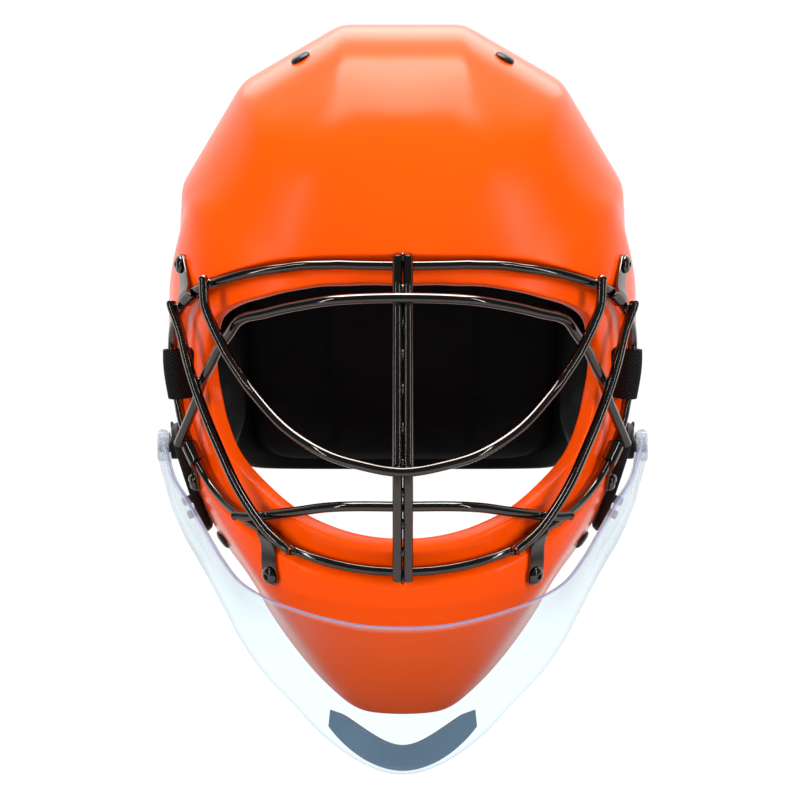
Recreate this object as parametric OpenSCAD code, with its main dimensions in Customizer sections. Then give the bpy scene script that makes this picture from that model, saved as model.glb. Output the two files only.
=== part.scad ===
// Field hockey goalkeeper helmet with wire cage, back plate and hanging throat guard.
// Millimetres. The face looks along -Y, +X is the viewer's right, +Z is up.
// The origin is the middle of the wearer's head, between the two ear slots.

/* [Shell] */
// Height of the shell's own centre above the origin
shell_centre_z = 30; // [20:1:40]
// Distance from that centre to the flat facet along the top
crown_facet = 150.5; // [140:0.5:165]
// Distance to the facet beside the top one
upper_facet = 146; // [138:0.5:160]
// Distance to the facet above the temple
side_facet = 132; // [126:0.5:145]
// Distance to the upright facet at the temple
temple_facet = 113.5; // [108:0.5:124]
// Distance to the facet that leans in along the cheek
cheek_facet = 123; // [116:0.5:132]
// Distance to the facet that closes the chin at each side
jaw_facet = 148; // [142:0.5:158]
// How far the brow lies in front of the centre
brow_reach = 133; // [124:1:145]
// How far the temples reach in front of the centre
temple_reach = 96; // [90:1:106]
// How far the chin lies in front of the centre
chin_reach = 150; // [140:1:162]
// How far the crown reaches behind the centre
rear_reach = 150; // [140:1:165]
// Wall of the moulded shell
shell_t = 4.5; // [3.5:0.1:6]
// How far the brow edge stands out over the temples
brow_flare = 4.4; // [1:0.1:6]
// Depth of the channel round the face opening
channel_depth = 6; // [4:0.5:8]

/* [Face opening] */
// Half the width of the face opening
face_half_w = 97; // [90:1:102]
// Height of the brow edge above the origin
face_top = 66.5; // [60:0.5:72]
// Depth of the chin edge below the origin
face_low = 58; // [54:0.5:64]

/* [Cage] */
// Diameter of the cage wire
wire_d = 4.8; // [4:0.1:5.6]
// Clear space under the ring wire, for the strap
ring_gap = 2.2; // [2:0.1:3]
// How far the middle of the U bar stands in front of the origin
u_bar_reach = 163; // [158:1:172]
// Thickness of the metal of a clip
clip_t = 1.4; // [1:0.1:2]
// Width of a clip
clip_w = 10; // [8:0.5:14]
// Diameter of the shank of a clip screw
screw_d = 4; // [3:0.1:5]

/* [Straps] */
// Width of the side webbing
strap_w = 24.5; // [18:0.5:26]
// Thickness of the webbing
strap_t = 1.5; // [1:0.1:1.8]
// Height of the slot that the side webbing comes through
slot_h = 29; // [28:0.5:34]
// Width of that slot
slot_w = 7.5; // [6:0.5:10]

/* [Back plate] */
// Half the width of the back plate
back_half_w = 100; // [90:1:104]
// Depth of its lower edge below the origin
back_low = 72; // [60:1:84]
// Wall of the back plate
back_t = 3.2; // [2.5:0.1:5]
// Foam on the inside of the back plate
back_foam_t = 13; // [8:1:18]

/* [Padding] */
// Thickness of the foam behind the brow
brow_foam_t = 13; // [8:1:18]
// Thickness of the foam under the crown
crown_foam_t = 14; // [8:1:20]
// Thickness of the foam at temple and jaw
side_foam_t = 11; // [7:1:14]

/* [Throat guard] */
// Thickness of the clear sheet
guard_t = 3; // [2:0.1:4]
// Diameter of the pivot pin
pivot_d = 6; // [5:0.5:8]
// Running clearance on the pivot pin, on the radius
pivot_gap = 0.08; // [0.02:0.01:0.1]
// Distance of the pivot in front of the origin
pivot_y = 28; // [24:1:34]
// Depth of the pivot below the origin
pivot_z = 31; // [27:1:35]
// Thickness of the black mounting plate on the jaw
mount_t = 4.5; // [3:0.5:6]

/* [Hidden] */

orange = "orangered";
nickel = "dimgray";
black = "#1c1c1e";
clear = [0.8, 0.9, 1, 0.5];

// Columns round the face and steps from the lip back to the rim.
columns = 60;
outer_steps = 13;

// General functions: mix, an eased step, a sum, a unit vector and a smooth table
function mix(a, b, t) = a + (b - a) * t;
function ease(a, b, x) = let (t = min(1, max(0, (x - a) / (b - a)))) t * t * (3 - 2 * t);
function sum(v) = v * [for (i = v) 1];
function unit(v) = v / norm(v);
function flip(p) = [-p[0], p[1], p[2]];
function slope(tb, j) = (j == 0 || j == len(tb) - 1) ? 0
  : (tb[j + 1][1] - tb[j - 1][1]) / (tb[j + 1][0] - tb[j - 1][0]);
function smooth_table(tb, x) =
  x <= tb[0][0] ? tb[0][1] : x >= tb[len(tb) - 1][0] ? tb[len(tb) - 1][1]
  : let (
      i = max([for (j = [0:len(tb) - 2]) if (x >= tb[j][0]) j]),
      h = tb[i + 1][0] - tb[i][0],
      t = (x - tb[i][0]) / h
    )
    (2 * t ^ 3 - 3 * t ^ 2 + 1) * tb[i][1] + (t ^ 3 - 2 * t ^ 2 + t) * h * slope(tb, i)
    + (3 * t ^ 2 - 2 * t ^ 3) * tb[i + 1][1] + (t ^ 3 - t ^ 2) * h * slope(tb, i + 1);

// The shell's skin. A place on it is told by two angles from the shell's centre: around,
// from straight up (0) past the side (90) to straight down (180), and back, from straight
// ahead (0) to straight behind (180). Facets are flat in the front view and soft at the
// brow, where they fade.
centre = [0, 0, shell_centre_z];
front_facets = [
  [0, crown_facet], [30, upper_facet], [59, side_facet], [88, temple_facet],
  [107, cheek_facet], [140, cheek_facet + 53], [180, crown_facet + 58],
];
front_reach = [
  [0, brow_reach], [45, brow_reach - 5], [66, brow_reach - 10], [80, temple_reach + 18],
  [92, temple_reach + 1], [125, temple_reach + 16], [150, chin_reach - 10], [180, chin_reach],
];
back_reach = [[0, rear_reach], [60, rear_reach - 10], [90, rear_reach - 30], [180, rear_reach - 30]];
fullness = [[0, 2.3], [60, 2.6], [90, 3], [125, 3.2], [180, 3.2]];
soft_power = 10;
sharp_power = 55;
crown_power = 170;
// How far the chin draws in towards its rim, as a share, by the angle around
chin_draw = [
  [0, 0], [126, 0], [135, 0.013], [140, 0.029], [145, 0.045], [150, 0.042], [155, 0.027],
  [160, 0.019], [165, 0.018], [170, 0.024], [175, 0.015], [180, 0.006],
];
jaw_power = 40;
jaw_dir = unit([0.8, 0.33, 0.5]);

function fold(a) = abs(a - 360 * round(a / 360));
function mirrored(a) = (a % 180 == 0) ? [1] : [1, -1];
function front_radius(a, p) =
  100 * pow(2, 0.7 / p) * pow(sum([
    for (f = front_facets) for (s = mirrored(f[0]))
      let (c = cos(a - s * f[0])) c > 0 ? pow(100 * c / f[1], p) : 0
  ]), -1 / p);
function direction(a, b) = [sin(b) * sin(a), -cos(b), sin(b) * cos(a)];
function flare(a, b) =
  let (edge = mix(64, 84, ease(50, 90, a)), s = ease(56, 80, b))
  brow_flare * ease(mix(48, 66, s), mix(70, 82, s), a) * (1 - ease(96, 109, a))
  * (1 - ease(edge - 2.5, edge + 2.5, b));
function skin_radius(a, b) =
  let (
    aa = fold(a),
    d = direction(aa, b),
    sharp = mix(1 / crown_power, 1 / sharp_power, ease(55, 75, aa)),
    p = 1 / mix(1 / soft_power, sharp, ease(32, 62, b)),
    n = smooth_table(fullness, aa),
    reach = smooth_table(b < 90 ? front_reach : back_reach, aa),
    dome = pow(pow(abs(cos(b)) / reach, n) + pow(sin(b) / front_radius(aa, p), n), -1 / n),
    side = max(0, d * [jaw_dir[0], -jaw_dir[1], -jaw_dir[2]])
  )
  100 * pow(pow(100 / dome, jaw_power) + pow(100 * side / jaw_facet, jaw_power), -1 / jaw_power)
  * (1 - smooth_table(chin_draw, aa) * ease(50, 68, b)) + flare(aa, b);
function skin(a, b, off = 0) = centre + (skin_radius(a, b) + off) * direction(a, b);
function skin_normal(a, b) =
  unit(cross(skin(a + 0.5, b) - skin(a - 0.5, b), skin(a, b + 0.5) - skin(a, b - 0.5)));

// Half outlines seen from the front, right side: across and up. The lip is the outer edge
// of the channel, and the ring wire runs just inside it.
open_pts = [
  [0, face_top], [24, face_top - 0.5], [46, face_top - 2.5], [68, face_top - 8],
  [face_half_w - 13, face_top - 14.5], [face_half_w - 5, face_top - 21.5],
  [face_half_w - 1, 31], [face_half_w, 19], [face_half_w - 2, 3], [face_half_w - 5.5, -10.5],
  [face_half_w - 14, -27], [65, 17 - face_low], [35, 4.5 - face_low], [0, -face_low],
];
lip_pts = [
  [0, face_top + 13], [22, face_top + 12.5], [45, face_top + 11], [68, face_top + 7],
  [face_half_w - 13, face_top + 1.5], [face_half_w + 2, face_top - 6.5],
  [face_half_w + 12, face_top - 16], [face_half_w + 18.5, 38], [face_half_w + 20, 22],
  [face_half_w + 18.5, 3], [face_half_w + 14.5, -14], [face_half_w + 8, -31],
  [face_half_w - 1, -45], [face_half_w - 14, -54], [71, -1.5 - face_low],
  [57, -8.5 - face_low], [41, -13.5 - face_low], [21, -17 - face_low], [0, -18 - face_low],
];
ring_pts = [
  [0, face_top + 8.6], [30, face_top + 7.9], [53, face_top + 5.6], [68, face_top + 2.9],
  [face_half_w - 13, face_top - 1.5], [face_half_w - 4, face_top - 5],
  [face_half_w + 3.5, face_top - 9.5], [face_half_w + 11, face_top - 19],
  [face_half_w + 16, 36], [face_half_w + 17.5, 22], [face_half_w + 16, 3],
  [face_half_w + 12.3, -14], [face_half_w + 5.3, -29.5], [face_half_w - 3.5, -42],
  [face_half_w - 15.5, -50.5], [69, 2 - face_low], [55, -4 - face_low],
  [40, -7.5 - face_low], [21, -10.5 - face_low], [0, -11.5 - face_low],
];
function polar(pts) = [
  for (p = pts) let (z = p[1] - shell_centre_z) [atan2(p[0], z), norm([p[0], z])]
];
open_table = polar(open_pts);
lip_table = polar(lip_pts);
ring_table = polar(ring_pts);
// The angle back at which the skin, moved out by off, lies this far off the front axis
function back_at(a, far, off = 0, lo = 5, hi = 100, n = 16) =
  n == 0 ? (lo + hi) / 2
  : let (m = (lo + hi) / 2)
    (skin_radius(a, m) + off) * sin(m) < far ? back_at(a, far, off, m, hi, n - 1)
    : back_at(a, far, off, lo, m, n - 1);
function open_back(a) = back_at(a, smooth_table(open_table, fold(a)));
// Beside the face the lip and the wire never run further back than these angles
lip_limit = 70;
ring_limit = 66.5;
function lip_back(a) = min(lip_limit, back_at(a, smooth_table(lip_table, fold(a))));
// The ring wire lies over the channel and stands a little prouder beside the face
function ring_off(a) = wire_d / 2 + ring_gap - channel_depth
  + 2.5 * ease(60, 82, fold(a)) * (1 - ease(112, 135, fold(a)));
lip_room = 2;
function ring_back(a) =
  min(ring_limit, lip_back(a) - lip_room, back_at(a, smooth_table(ring_table, fold(a)), ring_off(a)));
function ring_at(a) = skin(a, ring_back(a), ring_off(a));

// The rear and lower rim, as guide places on the skin
rim_pts = [
  [0, rear_reach - 5, 69], [34, rear_reach - 8, 68], [66, rear_reach - 25, 62],
  [89, rear_reach - 56, 46], [103, rear_reach - 79, 10], [109, 56, -28], [106, 34, -50],
  [101, 8, -65], [94, -20, -77], [82, -45, -90], [68, -62, -110], [55, -76, -124.5],
  [39, -92, -137.5], [20, -108, -145], [0, -113, -147],
];
rim_table = [
  for (p = rim_pts)
    let (q = [p[0], p[2] - shell_centre_z]) [atan2(q[0], q[1]), atan2(norm(q), -p[1])]
];
function rim_back(a) = smooth_table(rim_table, fold(a));

// Faces of a net of points. Each row is a closed loop when wrap is true, and the rows
// themselves close on each other when ring is true.
function net_faces(rows, n, wrap = true, ring = true) = [
  for (i = [0:rows - (ring ? 1 : 2)]) for (j = [0:n - (wrap ? 1 : 2)])
    let (
      a = i * n + j, b = i * n + (j + 1) % n,
      c = ((i + 1) % rows) * n + (j + 1) % n, d = ((i + 1) % rows) * n + j
    )
    each [[a, b, c], [a, c, d]]
];
// A solid from loops of points, open ended, its two ends closed by flat caps
module loft(loops) {
  n = len(loops[0]);
  m = len(loops);
  polyhedron(
    points = [for (l = loops) each l],
    faces = concat(
      net_faces(m, n, true, false),
      [[for (j = [n - 1:-1:0]) j], [for (j = [0:n - 1]) (m - 1) * n + j]]
    )
  );
}
// A closed ring of loops
module ring_loft(loops) {
  polyhedron(points = [for (l = loops) each l], faces = net_faces(len(loops), len(loops[0])));
}

// A smooth path through points, in steps between each pair
function spline(pts, steps) = concat([
  for (i = [0:len(pts) - 2]) for (k = [0:steps - 1])
    let (
      t = k / steps,
      p1 = pts[i], p2 = pts[i + 1],
      p0 = i == 0 ? 2 * p1 - p2 : pts[i - 1],
      p3 = i == len(pts) - 2 ? 2 * p2 - p1 : pts[i + 2]
    )
    0.5 * (2 * p1 + (p2 - p0) * t + (2 * p0 - 5 * p1 + 4 * p2 - p3) * t ^ 2
      + (3 * p1 - p0 - 3 * p2 + p3) * t ^ 3)
], [pts[len(pts) - 1]]);
function circle_at(p, along, r, sides, up = [0, 1, 0]) =
  let (u = unit(cross(along, up)), v = cross(u, along))
  [for (k = [0:sides - 1]) p + r * (cos(360 * k / sides) * u + sin(360 * k / sides) * v)];
function tube_loops(path, r, sides, closed = false) = [
  for (i = [0:len(path) - 1])
    let (
      n = len(path),
      before = closed ? path[(i + n - 1) % n] : path[max(0, i - 1)],
      after = closed ? path[(i + 1) % n] : path[min(n - 1, i + 1)]
    )
    circle_at(path[i], unit(after - before), r, sides)
];
wire_sides = 10;
wire_r = wire_d / 2;
module wire(path) { loft(tube_loops(path, wire_r, wire_sides)); }

// Stands its children on the skin: their +Z points out of the shell, +Y runs forward
module on_skin(a, b, off = 0) {
  z = skin_normal(a, b);
  x = unit(cross(skin(a, b - 0.5) - skin(a, b + 0.5), z));
  y = cross(z, x);
  p = skin(a, b) + off * z;
  multmatrix([
    [x[0], y[0], z[0], p[0]], [x[1], y[1], z[1], p[1]], [x[2], y[2], z[2], p[2]], [0, 0, 0, 1],
  ]) children();
}

// Shell
function inside_off(b, lip) = -shell_t - (channel_depth - 2) * (1 - ease(lip + 1, lip + 11, b));
// The same with a margin for the flats of the net, for the pieces that lie against it
function inner_face(a, b) = inside_off(b - 4, lip_back(a)) - 0.4;
function edge_drop(a) = mix(4.5, 1.5, ease(60, 100, fold(a)));
function shell_loop(a) =
  let (b0 = open_back(a), bl = lip_back(a), br = rim_back(a), gap = bl - b0)
  concat(
    [for (k = [0:outer_steps]) skin(a, mix(bl, br, k / outer_steps))],
    [skin(a, br + 0.3, -shell_t / 2)],
    [
      for (k = [outer_steps:-1:0])
        let (b = mix(b0 + 1, br, k / outer_steps)) skin(a, b, inside_off(b, bl))
    ],
    [skin(a, b0 - 0.3, -edge_drop(a) - 2.2)],
    [skin(a, b0 + 0.4, -edge_drop(a))],
    [skin(a, bl - gap * 0.45, -mix(edge_drop(a), channel_depth, 0.75))],
    [skin(a, bl - 0.6, -channel_depth)]
  );

// Places on the skin, right side, as the two angles: clip screws, rivets, mount screws
clip_around = [70.5, 125.5, 149.4];
// How far past the lip each clip is screwed down
clip_past = [10.77, 4.96, 3.92];
clip_at = [for (k = [0:2]) [clip_around[k], lip_back(clip_around[k]) + clip_past[k]]];
// Where each clip hooks the ring wire, as the angle around
hook_at = [76.5, 119.3, 144];
crown_rivet = [20.3, 75];
jaw_rivet = [139, 68];
mount_screw_at = [[116.5, 84.5], [131.5, 81.5]];
rivet_d = 5;
rivet_head_d = 10.5;
hole_gap = 0.15;
ear_y = 14;
ear_z = -3;
ear_l = 46;
ear_h = 32;
slot_x = 106.5;
slot_y = -60;
slot_z = 10.5;
slot_r = 2;
module hole(d) { translate([0, 0, -20]) cylinder(d = d + 2 * hole_gap, h = 30, $fn = 24); }
module slot_cut(s) {
  translate([s * slot_x, slot_y, slot_z]) rotate([90, 0, 0])
    linear_extrude(68, center = true)
      offset(slot_r) square([slot_w - 2 * slot_r, slot_h - 2 * slot_r], center = true);
}
module ear_cut(s) {
  translate([s * 110, ear_y, ear_z]) rotate([0, 90, 0])
    linear_extrude(40, center = true) hull() for (k = [-1, 1])
      translate([0, k * (ear_l - ear_h) / 2]) circle(d = ear_h, $fn = 36);
}
module shell() {
  color(orange) difference() {
    ring_loft([for (i = [0:columns - 1]) shell_loop(360 * i / columns)]);
    for (s = [1, -1]) {
      slot_cut(s);
      ear_cut(s);
      on_skin(s * crown_rivet[0], crown_rivet[1]) hole(rivet_d);
      on_skin(s * jaw_rivet[0], jaw_rivet[1]) hole(rivet_d);
      for (c = clip_at) on_skin(s * c[0], c[1]) hole(screw_d);
      for (c = mount_screw_at) on_skin(s * c[0], c[1]) hole(screw_d);
    }
  }
}

// Foam pads: a patch under the shell, thickest in the middle and drawn in at its sides
foam_gap = 1.1;
function pad_t(t, u, v) = t * (0.3 + 0.7 * sqrt(max(0, (1 - u ^ 6) * (1 - v ^ 6))));
function pad_off(a, b, low) = inner_face(a, b) - foam_gap - low;
function pad_loop(a, u, b0, b1, t, low, n) = concat(
  [for (j = [0:n]) let (b = mix(b0, b1, j / n)) skin(a, b, pad_off(a, b, low))],
  [
    for (j = [n:-1:0])
      let (b = mix(b0, b1, j / n)) skin(a, b, pad_off(a, b, low) - pad_t(t, u, 2 * j / n - 1))
  ]
);
module pad(a0, a1, b0, b1, t, low = 0, step = 6, n = 8) {
  m = round((a1 - a0) / step);
  loft([
    for (i = [0:m])
      let (a = mix(a0, a1, i / m)) pad_loop(a, 2 * i / m - 1, b0, b1, t, low, n)
  ]);
}
strap_room = strap_t + 1.4;
module brow_pad() { color(black) pad(-66, 66, 34, 70, brow_foam_t, 0.35, 6, 8); }
module crown_pad() { color(black) pad(-54, 54, 80, 120, crown_foam_t, strap_room, 6); }
module temple_pad(s) { color(black) side(s) pad(69, 87, 68, 112, side_foam_t + 2, 0.45, 3, 7); }
module jaw_pad(s) { color(black) side(s) pad(130, 148, 50, 62.5, side_foam_t, -0.35, 3, 5); }
module temple_pad_left() { temple_pad(-1); }
module temple_pad_right() { temple_pad(1); }
module jaw_pad_left() { jaw_pad(-1); }
module jaw_pad_right() { jaw_pad(1); }
// The panel beside the ear stands off the shell, clear of the slide and the nuts, and
// meets the shell along its upper and its lower edge. Each row: the angle around, whether
// it stands off, the share of its thickness, and the angle back where it starts.
panel_out_x = 97.2;
panel_in_x = 86;
panel_rows = [
  [87.5, 0, 0.5, 68], [88.6, 0, 0.85, 67], [90.6, 0, 1, 66], [91.4, 1, 1, 66], [96, 1, 1, 66],
  [102, 1, 1, 66], [108, 1, 1, 67], [114, 1, 1, 70], [120, 1, 1, 72], [125.2, 1, 1, 73],
  [126.3, 0, 0.9, 73], [128.8, 0, 0.5, 75],
];
panel_end = 118;
function panel_out(a, b, away) =
  let (r = skin_radius(a, b) + pad_off(a, b, -0.2))
  away > 0 ? min(r, (panel_out_x - 4 * ease(98, 118, b)) / (sin(a) * sin(b))) : r;
function panel_in(a, b) = (panel_in_x - 3 * ease(100, 129, a)) / (sin(a) * sin(b));
function panel_loop(q, n = 8) =
  let (
    a = q[0],
    outer = [
      for (j = [0:n]) let (b = mix(q[3], panel_end, j / n)) centre + panel_out(a, b, q[1]) * direction(a, b)
    ],
    inner = [
      for (j = [n:-1:0])
        let (
          b = mix(q[3], panel_end, j / n), v = 2 * j / n - 1,
          w = q[2] * (0.5 + 0.5 * sqrt(1 - v ^ 6))
        )
        centre + mix(panel_out(a, b, q[1]), panel_in(a, b), w) * direction(a, b)
    ]
  )
  concat(outer, inner);
module ear_pad(s) { color(black) side(s) loft([for (q = panel_rows) panel_loop(q)]); }
module ear_pad_left() { ear_pad(-1); }
module ear_pad_right() { ear_pad(1); }
// Mirrors a right hand piece for the other side
module side(s) { if (s > 0) children(); else mirror([1, 0, 0]) children(); }

// Cage: round bars welded at their crossings
bar_steps = 2;
crossing = wire_d - 0.05;
chin_more = chin_reach - 150;
wider = face_half_w / 97;
function both(half) = concat(half, [for (i = [len(half) - 2:-1:0]) flip(half[i])]);
// Where a bar running along d lies on the ring wire, at the angle a around
function weld(a, d) =
  let (n = unit(cross(ring_at(a + 1) - ring_at(a - 1), d)))
  ring_at(a) + crossing * (n[1] < 0 ? n : -n);
// The last stretch of a bar: its weld and a short tail
function tail(a, d) = [weld(a, d), weld(a, d) + 2.4 * unit(d)];
function head(a, d) = [weld(a, d) - 2.4 * unit(d), weld(a, d)];
ring_half = concat([for (a = [0:6:60]) a], [for (a = [66:3:138]) a], [for (a = [144:6:180]) a]);
ring_stops = concat(ring_half, [for (i = [len(ring_half) - 2:-1:1]) 360 - ring_half[i]]);
module cage_ring() {
  color(nickel)
    ring_loft(tube_loops([for (a = ring_stops) ring_at(a)], wire_r, wire_sides, true));
}
brow_bar_half = concat(head(115.5, [-4, -7, 12]), [
  [107, -69.5, -12.8], [102, -76, -1], [98.7, -81.5, 9], [96.5, -85, 14], [92.2, -91.5, 22.6],
  [88.6, -97, 30], [83.2, -104.5, 38], [78.7, -110.5, 44.9], [74, -114.6, 48],
  [66, -120.8, 50.5], [51.6, -130.5, 55.2], [30, -141.5, 60], [0, -146, 61.6],
]);
module brow_bar() { color(nickel) wire(spline(both(brow_bar_half), bar_steps)); }
u_bar_half = concat(head(71, [-3, -7, -11]), [
  [94.3, -104, 52.2], [91.1, -108.2, 44.4], [87.4, -112, 37.4], [82.9, -116, 29.7],
  [76.8, -120.8, 21.4], [70.6, -126, 13.9], [55.4, -141, 0.2],
  [37, -u_bar_reach + 8, -9.3], [20, -u_bar_reach + 2, -14], [0, -u_bar_reach, -16.9],
]);
module u_bar() { color(nickel) wire(spline(both(u_bar_half), bar_steps)); }
side_bar = concat(head(81, [-2, -5, -10]), [
  [108.6 * wider, -77.5, 36.4], [103.9 * wider, -84, 19.2], [97.4 * wider, -90.5, 1.1],
  [89.5 * wider, -100 - chin_more * 0.3, -16], [79.2 * wider, -113 - chin_more * 0.7, -34.8],
  [66.5 * wider, -125.5 - chin_more, -51],
], tail(150, [-13, -11, -13]));
module side_bar_left() { color(nickel) side(-1) wire(spline(side_bar, bar_steps)); }
module side_bar_right() { color(nickel) wire(spline(side_bar, bar_steps)); }
jaw_bar_half = concat(head(137, [-12, -10, 3.7]), [
  [71.5 * wider, -114 - chin_more, -48.4], [52 * wider, -131 - chin_more, -42.7],
  [37 * wider, -141.5 - chin_more, -38.4], [22, -148 - chin_more, -36.3],
  [0, -151 - chin_more, -35.8],
]);
module jaw_bar() { color(nickel) wire(spline(both(jaw_bar_half), bar_steps)); }
centre_x = wire_r + 0.05;
centre_bar = concat(head(3, [0, -10, -18]), [
  [centre_x, -141.3, 60], [centre_x, -152, 24], [centre_x, -u_bar_reach + crossing, -16.9],
  [centre_x, -155.8 - chin_more, -35.8], [centre_x, -152.5 - chin_more, -54],
], tail(178.5, [0, 3, -14]));
function on_plane(pts) = [for (p = pts) [centre_x, p[1], p[2]]];
module centre_bar_left() { color(nickel) side(-1) wire(spline(on_plane(centre_bar), bar_steps)); }
module centre_bar_right() { color(nickel) wire(spline(on_plane(centre_bar), bar_steps)); }

// Clips: a flat strip under a screw, bent over the ring wire
clip_gap = 0.45;
seat = 0.3;
function clip_frame(a, b, q) =
  let (
    z = skin_normal(a, b), p = skin(a, b), d = q - p,
    y = unit(d - (d * z) * z), x = cross(y, z)
  )
  [x, y, z, p];
function local(fr, q) = [for (k = [0:2]) (q - fr[3]) * fr[k]];
module in_frame(fr) {
  multmatrix([
    for (k = [0:2]) [fr[0][k], fr[1][k], fr[2][k], fr[3][k]]
  ]) children();
}
function thick_path(pts, t) =
  let (
    n = len(pts),
    side_at = [
      for (i = [0:n - 1])
        let (d = unit(pts[min(n - 1, i + 1)] - pts[max(0, i - 1)])) [-d[1], d[0]] * t / 2
    ]
  )
  concat([for (i = [0:n - 1]) pts[i] + side_at[i]], [for (i = [n - 1:-1:0]) pts[i] - side_at[i]]);
// Where the ring wire passes the frame's own upright plane at x
function ring_past(fr, x, lo, hi, n = 14) =
  let (m = (lo + hi) / 2, up = local(fr, ring_at(hi))[0] > local(fr, ring_at(lo))[0])
  n == 0 ? ring_at(m)
  : ((local(fr, ring_at(m))[0] > x) == up) ? ring_past(fr, x, lo, m, n - 1)
  : ring_past(fr, x, m, hi, n - 1);
clip_cuts = 4;
module clip(s, k) {
  c = clip_at[k];
  fr = clip_frame(c[0], c[1], ring_at(hook_at[k]));
  lean = unit(ring_at(hook_at[k] + 2) - ring_at(hook_at[k] - 2)) * fr[0];
  r = (wire_r + clip_gap) / abs(lean) + clip_t / 2;
  base = seat + clip_t / 2;
  color(nickel) side(s) in_frame(fr) difference() {
    loft([
      for (i = [0:clip_cuts])
        let (
          x = clip_w * (i / clip_cuts - 0.5),
          q = local(fr, ring_past(fr, x, hook_at[k] - 8, hook_at[k] + 8)),
          line = concat(
            [[-clip_w / 2 - 1, base], [0, base], [clip_w / 2, base]],
            [for (t = [110:-20:-50]) [q[1] + r * cos(t), q[2] + r * sin(t)]]
          )
        )
        [for (p = thick_path(line, clip_t)) [x, p[0], p[1]]]
    ]);
    cylinder(d = screw_d + 2 * hole_gap, h = 20, center = true, $fn = 24);
  }
}
module upper_clip_left() { clip(-1, 0); }
module upper_clip_right() { clip(1, 0); }
module side_clip_left() { clip(-1, 1); }
module side_clip_right() { clip(1, 1); }
module lower_clip_left() { clip(-1, 2); }
module lower_clip_right() { clip(1, 2); }

// Fasteners
strap_low = 0.8;
head_d = 9;
head_h = 2.4;
nut_d = 8;
nut_h = 3;
// Depth of the shell's inner face under a place on its skin
function depth_at(c) = inner_face(c[0], c[1]);
module screw(c, under) {
  low = depth_at(c) - seat - nut_h;
  translate([0, 0, low]) cylinder(d = screw_d, h = under - low, $fn = 24);
  translate([0, 0, under]) rotate_extrude($fn = 36)
    polygon([[0, 0], [head_d / 2, 0], [head_d / 2, head_h * 0.4], [head_d / 2 - 1, head_h * 0.85],
      [head_d / 4, head_h], [0, head_h]]);
}
module clip_screws() {
  color(nickel) for (s = [1, -1]) for (c = clip_at)
    side(s) on_skin(c[0], c[1]) screw(c, 2 * seat + clip_t);
}
module clip_nuts() {
  color(nickel) for (s = [1, -1]) for (c = clip_at)
    side(s) on_skin(c[0], c[1]) translate([0, 0, depth_at(c) - seat - nut_h])
      difference() {
        cylinder(d = nut_d, h = nut_h, $fn = 6);
        translate([0, 0, -1]) cylinder(d = screw_d + 0.1, h = nut_h + 2, $fn = 24);
      }
}
rivet_h = 2;
module rivet(c) {
  low = depth_at(c) - strap_low - strap_t - 2 * seat;
  translate([0, 0, low - 0.5]) cylinder(d = rivet_d, h = seat - low + 1, $fn = 24);
  translate([0, 0, seat]) rotate_extrude($fn = 36)
    polygon([[0, 0], [rivet_head_d / 2, 0], [rivet_head_d / 2 - 0.4, rivet_h * 0.6],
      [rivet_head_d / 4, rivet_h], [0, rivet_h]]);
  translate([0, 0, low - 1.2]) cylinder(d = rivet_head_d, h = 1.2, $fn = 36);
}
module crown_rivets() {
  color(black) for (s = [1, -1]) side(s) on_skin(crown_rivet[0], crown_rivet[1]) rivet(crown_rivet);
}
module jaw_rivets() {
  color(black) for (s = [1, -1]) side(s) on_skin(jaw_rivet[0], jaw_rivet[1]) rivet(jaw_rivet);
}

// Back plate: a curved plate behind the head, with foam, tilting at its top edge
plate_top = 94;
plate_y = 124;
plate_front_y = 40;
function plate_at(u, z, off = 0) =
  let (
    a = back_half_w + off, d = plate_y - plate_front_y + off, p = u * 90,
    w = 0.99 - 0.07 * ease(10, plate_top, z) - 0.04 * ease(-20, back_low, -z) * abs(u),
    y = plate_front_y + d * cos(p) ^ 0.85 - 10 * ((z - 10) / 90) ^ 2
  )
  [a * sin(p) * w, y, z];
// How much higher its lower edge is at the sides
plate_rise = 11;
module curved_plate(u0, z0, z1, off, t, n = 16, m = 7, soft = false) {
  loft([
    for (i = [n:-1:0])
      let (
        u = mix(-u0, u0, i / n), e = soft ? pad_t(1, 2 * i / n - 1, 0) : 1,
        low = z0 + plate_rise * (u / plate_u) ^ 2
      )
      concat(
        [for (j = [0:m]) plate_at(u, mix(low, z1, j / m), off)],
        [
          for (j = [m:-1:0])
            let (f = soft ? e * pad_t(1, 0, 2 * j / m - 1) : 1)
            plate_at(u, mix(low, z1, j / m), off - t * f)
        ]
      )
  ]);
}
plate_u = 0.8;
module back_plate() {
  color(black) difference() {
    curved_plate(plate_u, -back_low, plate_top, 0, back_t);
    for (s = [1, -1]) for (p = plate_rivet_at) plate_frame(s, p) hole(rivet_d);
  }
}
module back_pad() {
  color(black) curved_plate(plate_u - 0.1, -back_low + 6, plate_top - 26, -back_t - 0.9,
    back_foam_t, 16, 8, true);
}
// Rivets that hold the straps to the plate, as a share of its quarter turn and a height
plate_rivet_at = [[0.27, 84], [0.68, 10.5]];
module plate_frame(s, p) {
  q = plate_at(p[0], p[1]);
  n = plate_normal(p);
  x = unit(cross([0, 0, 1], n));
  y = cross(n, x);
  side(s) multmatrix([
    [x[0], y[0], n[0], q[0]], [x[1], y[1], n[1], q[1]], [x[2], y[2], n[2], q[2]],
  ]) children();
}
module plate_rivets() {
  top = strap_t + 2 * seat;
  color(black) for (s = [1, -1]) for (p = plate_rivet_at) plate_frame(s, p) {
    translate([0, 0, -back_t - 0.2]) cylinder(d = rivet_d, h = back_t + 0.7 + top, $fn = 24);
    translate([0, 0, top]) cylinder(d = rivet_head_d, h = 1.5, $fn = 36);
  }
}

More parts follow.
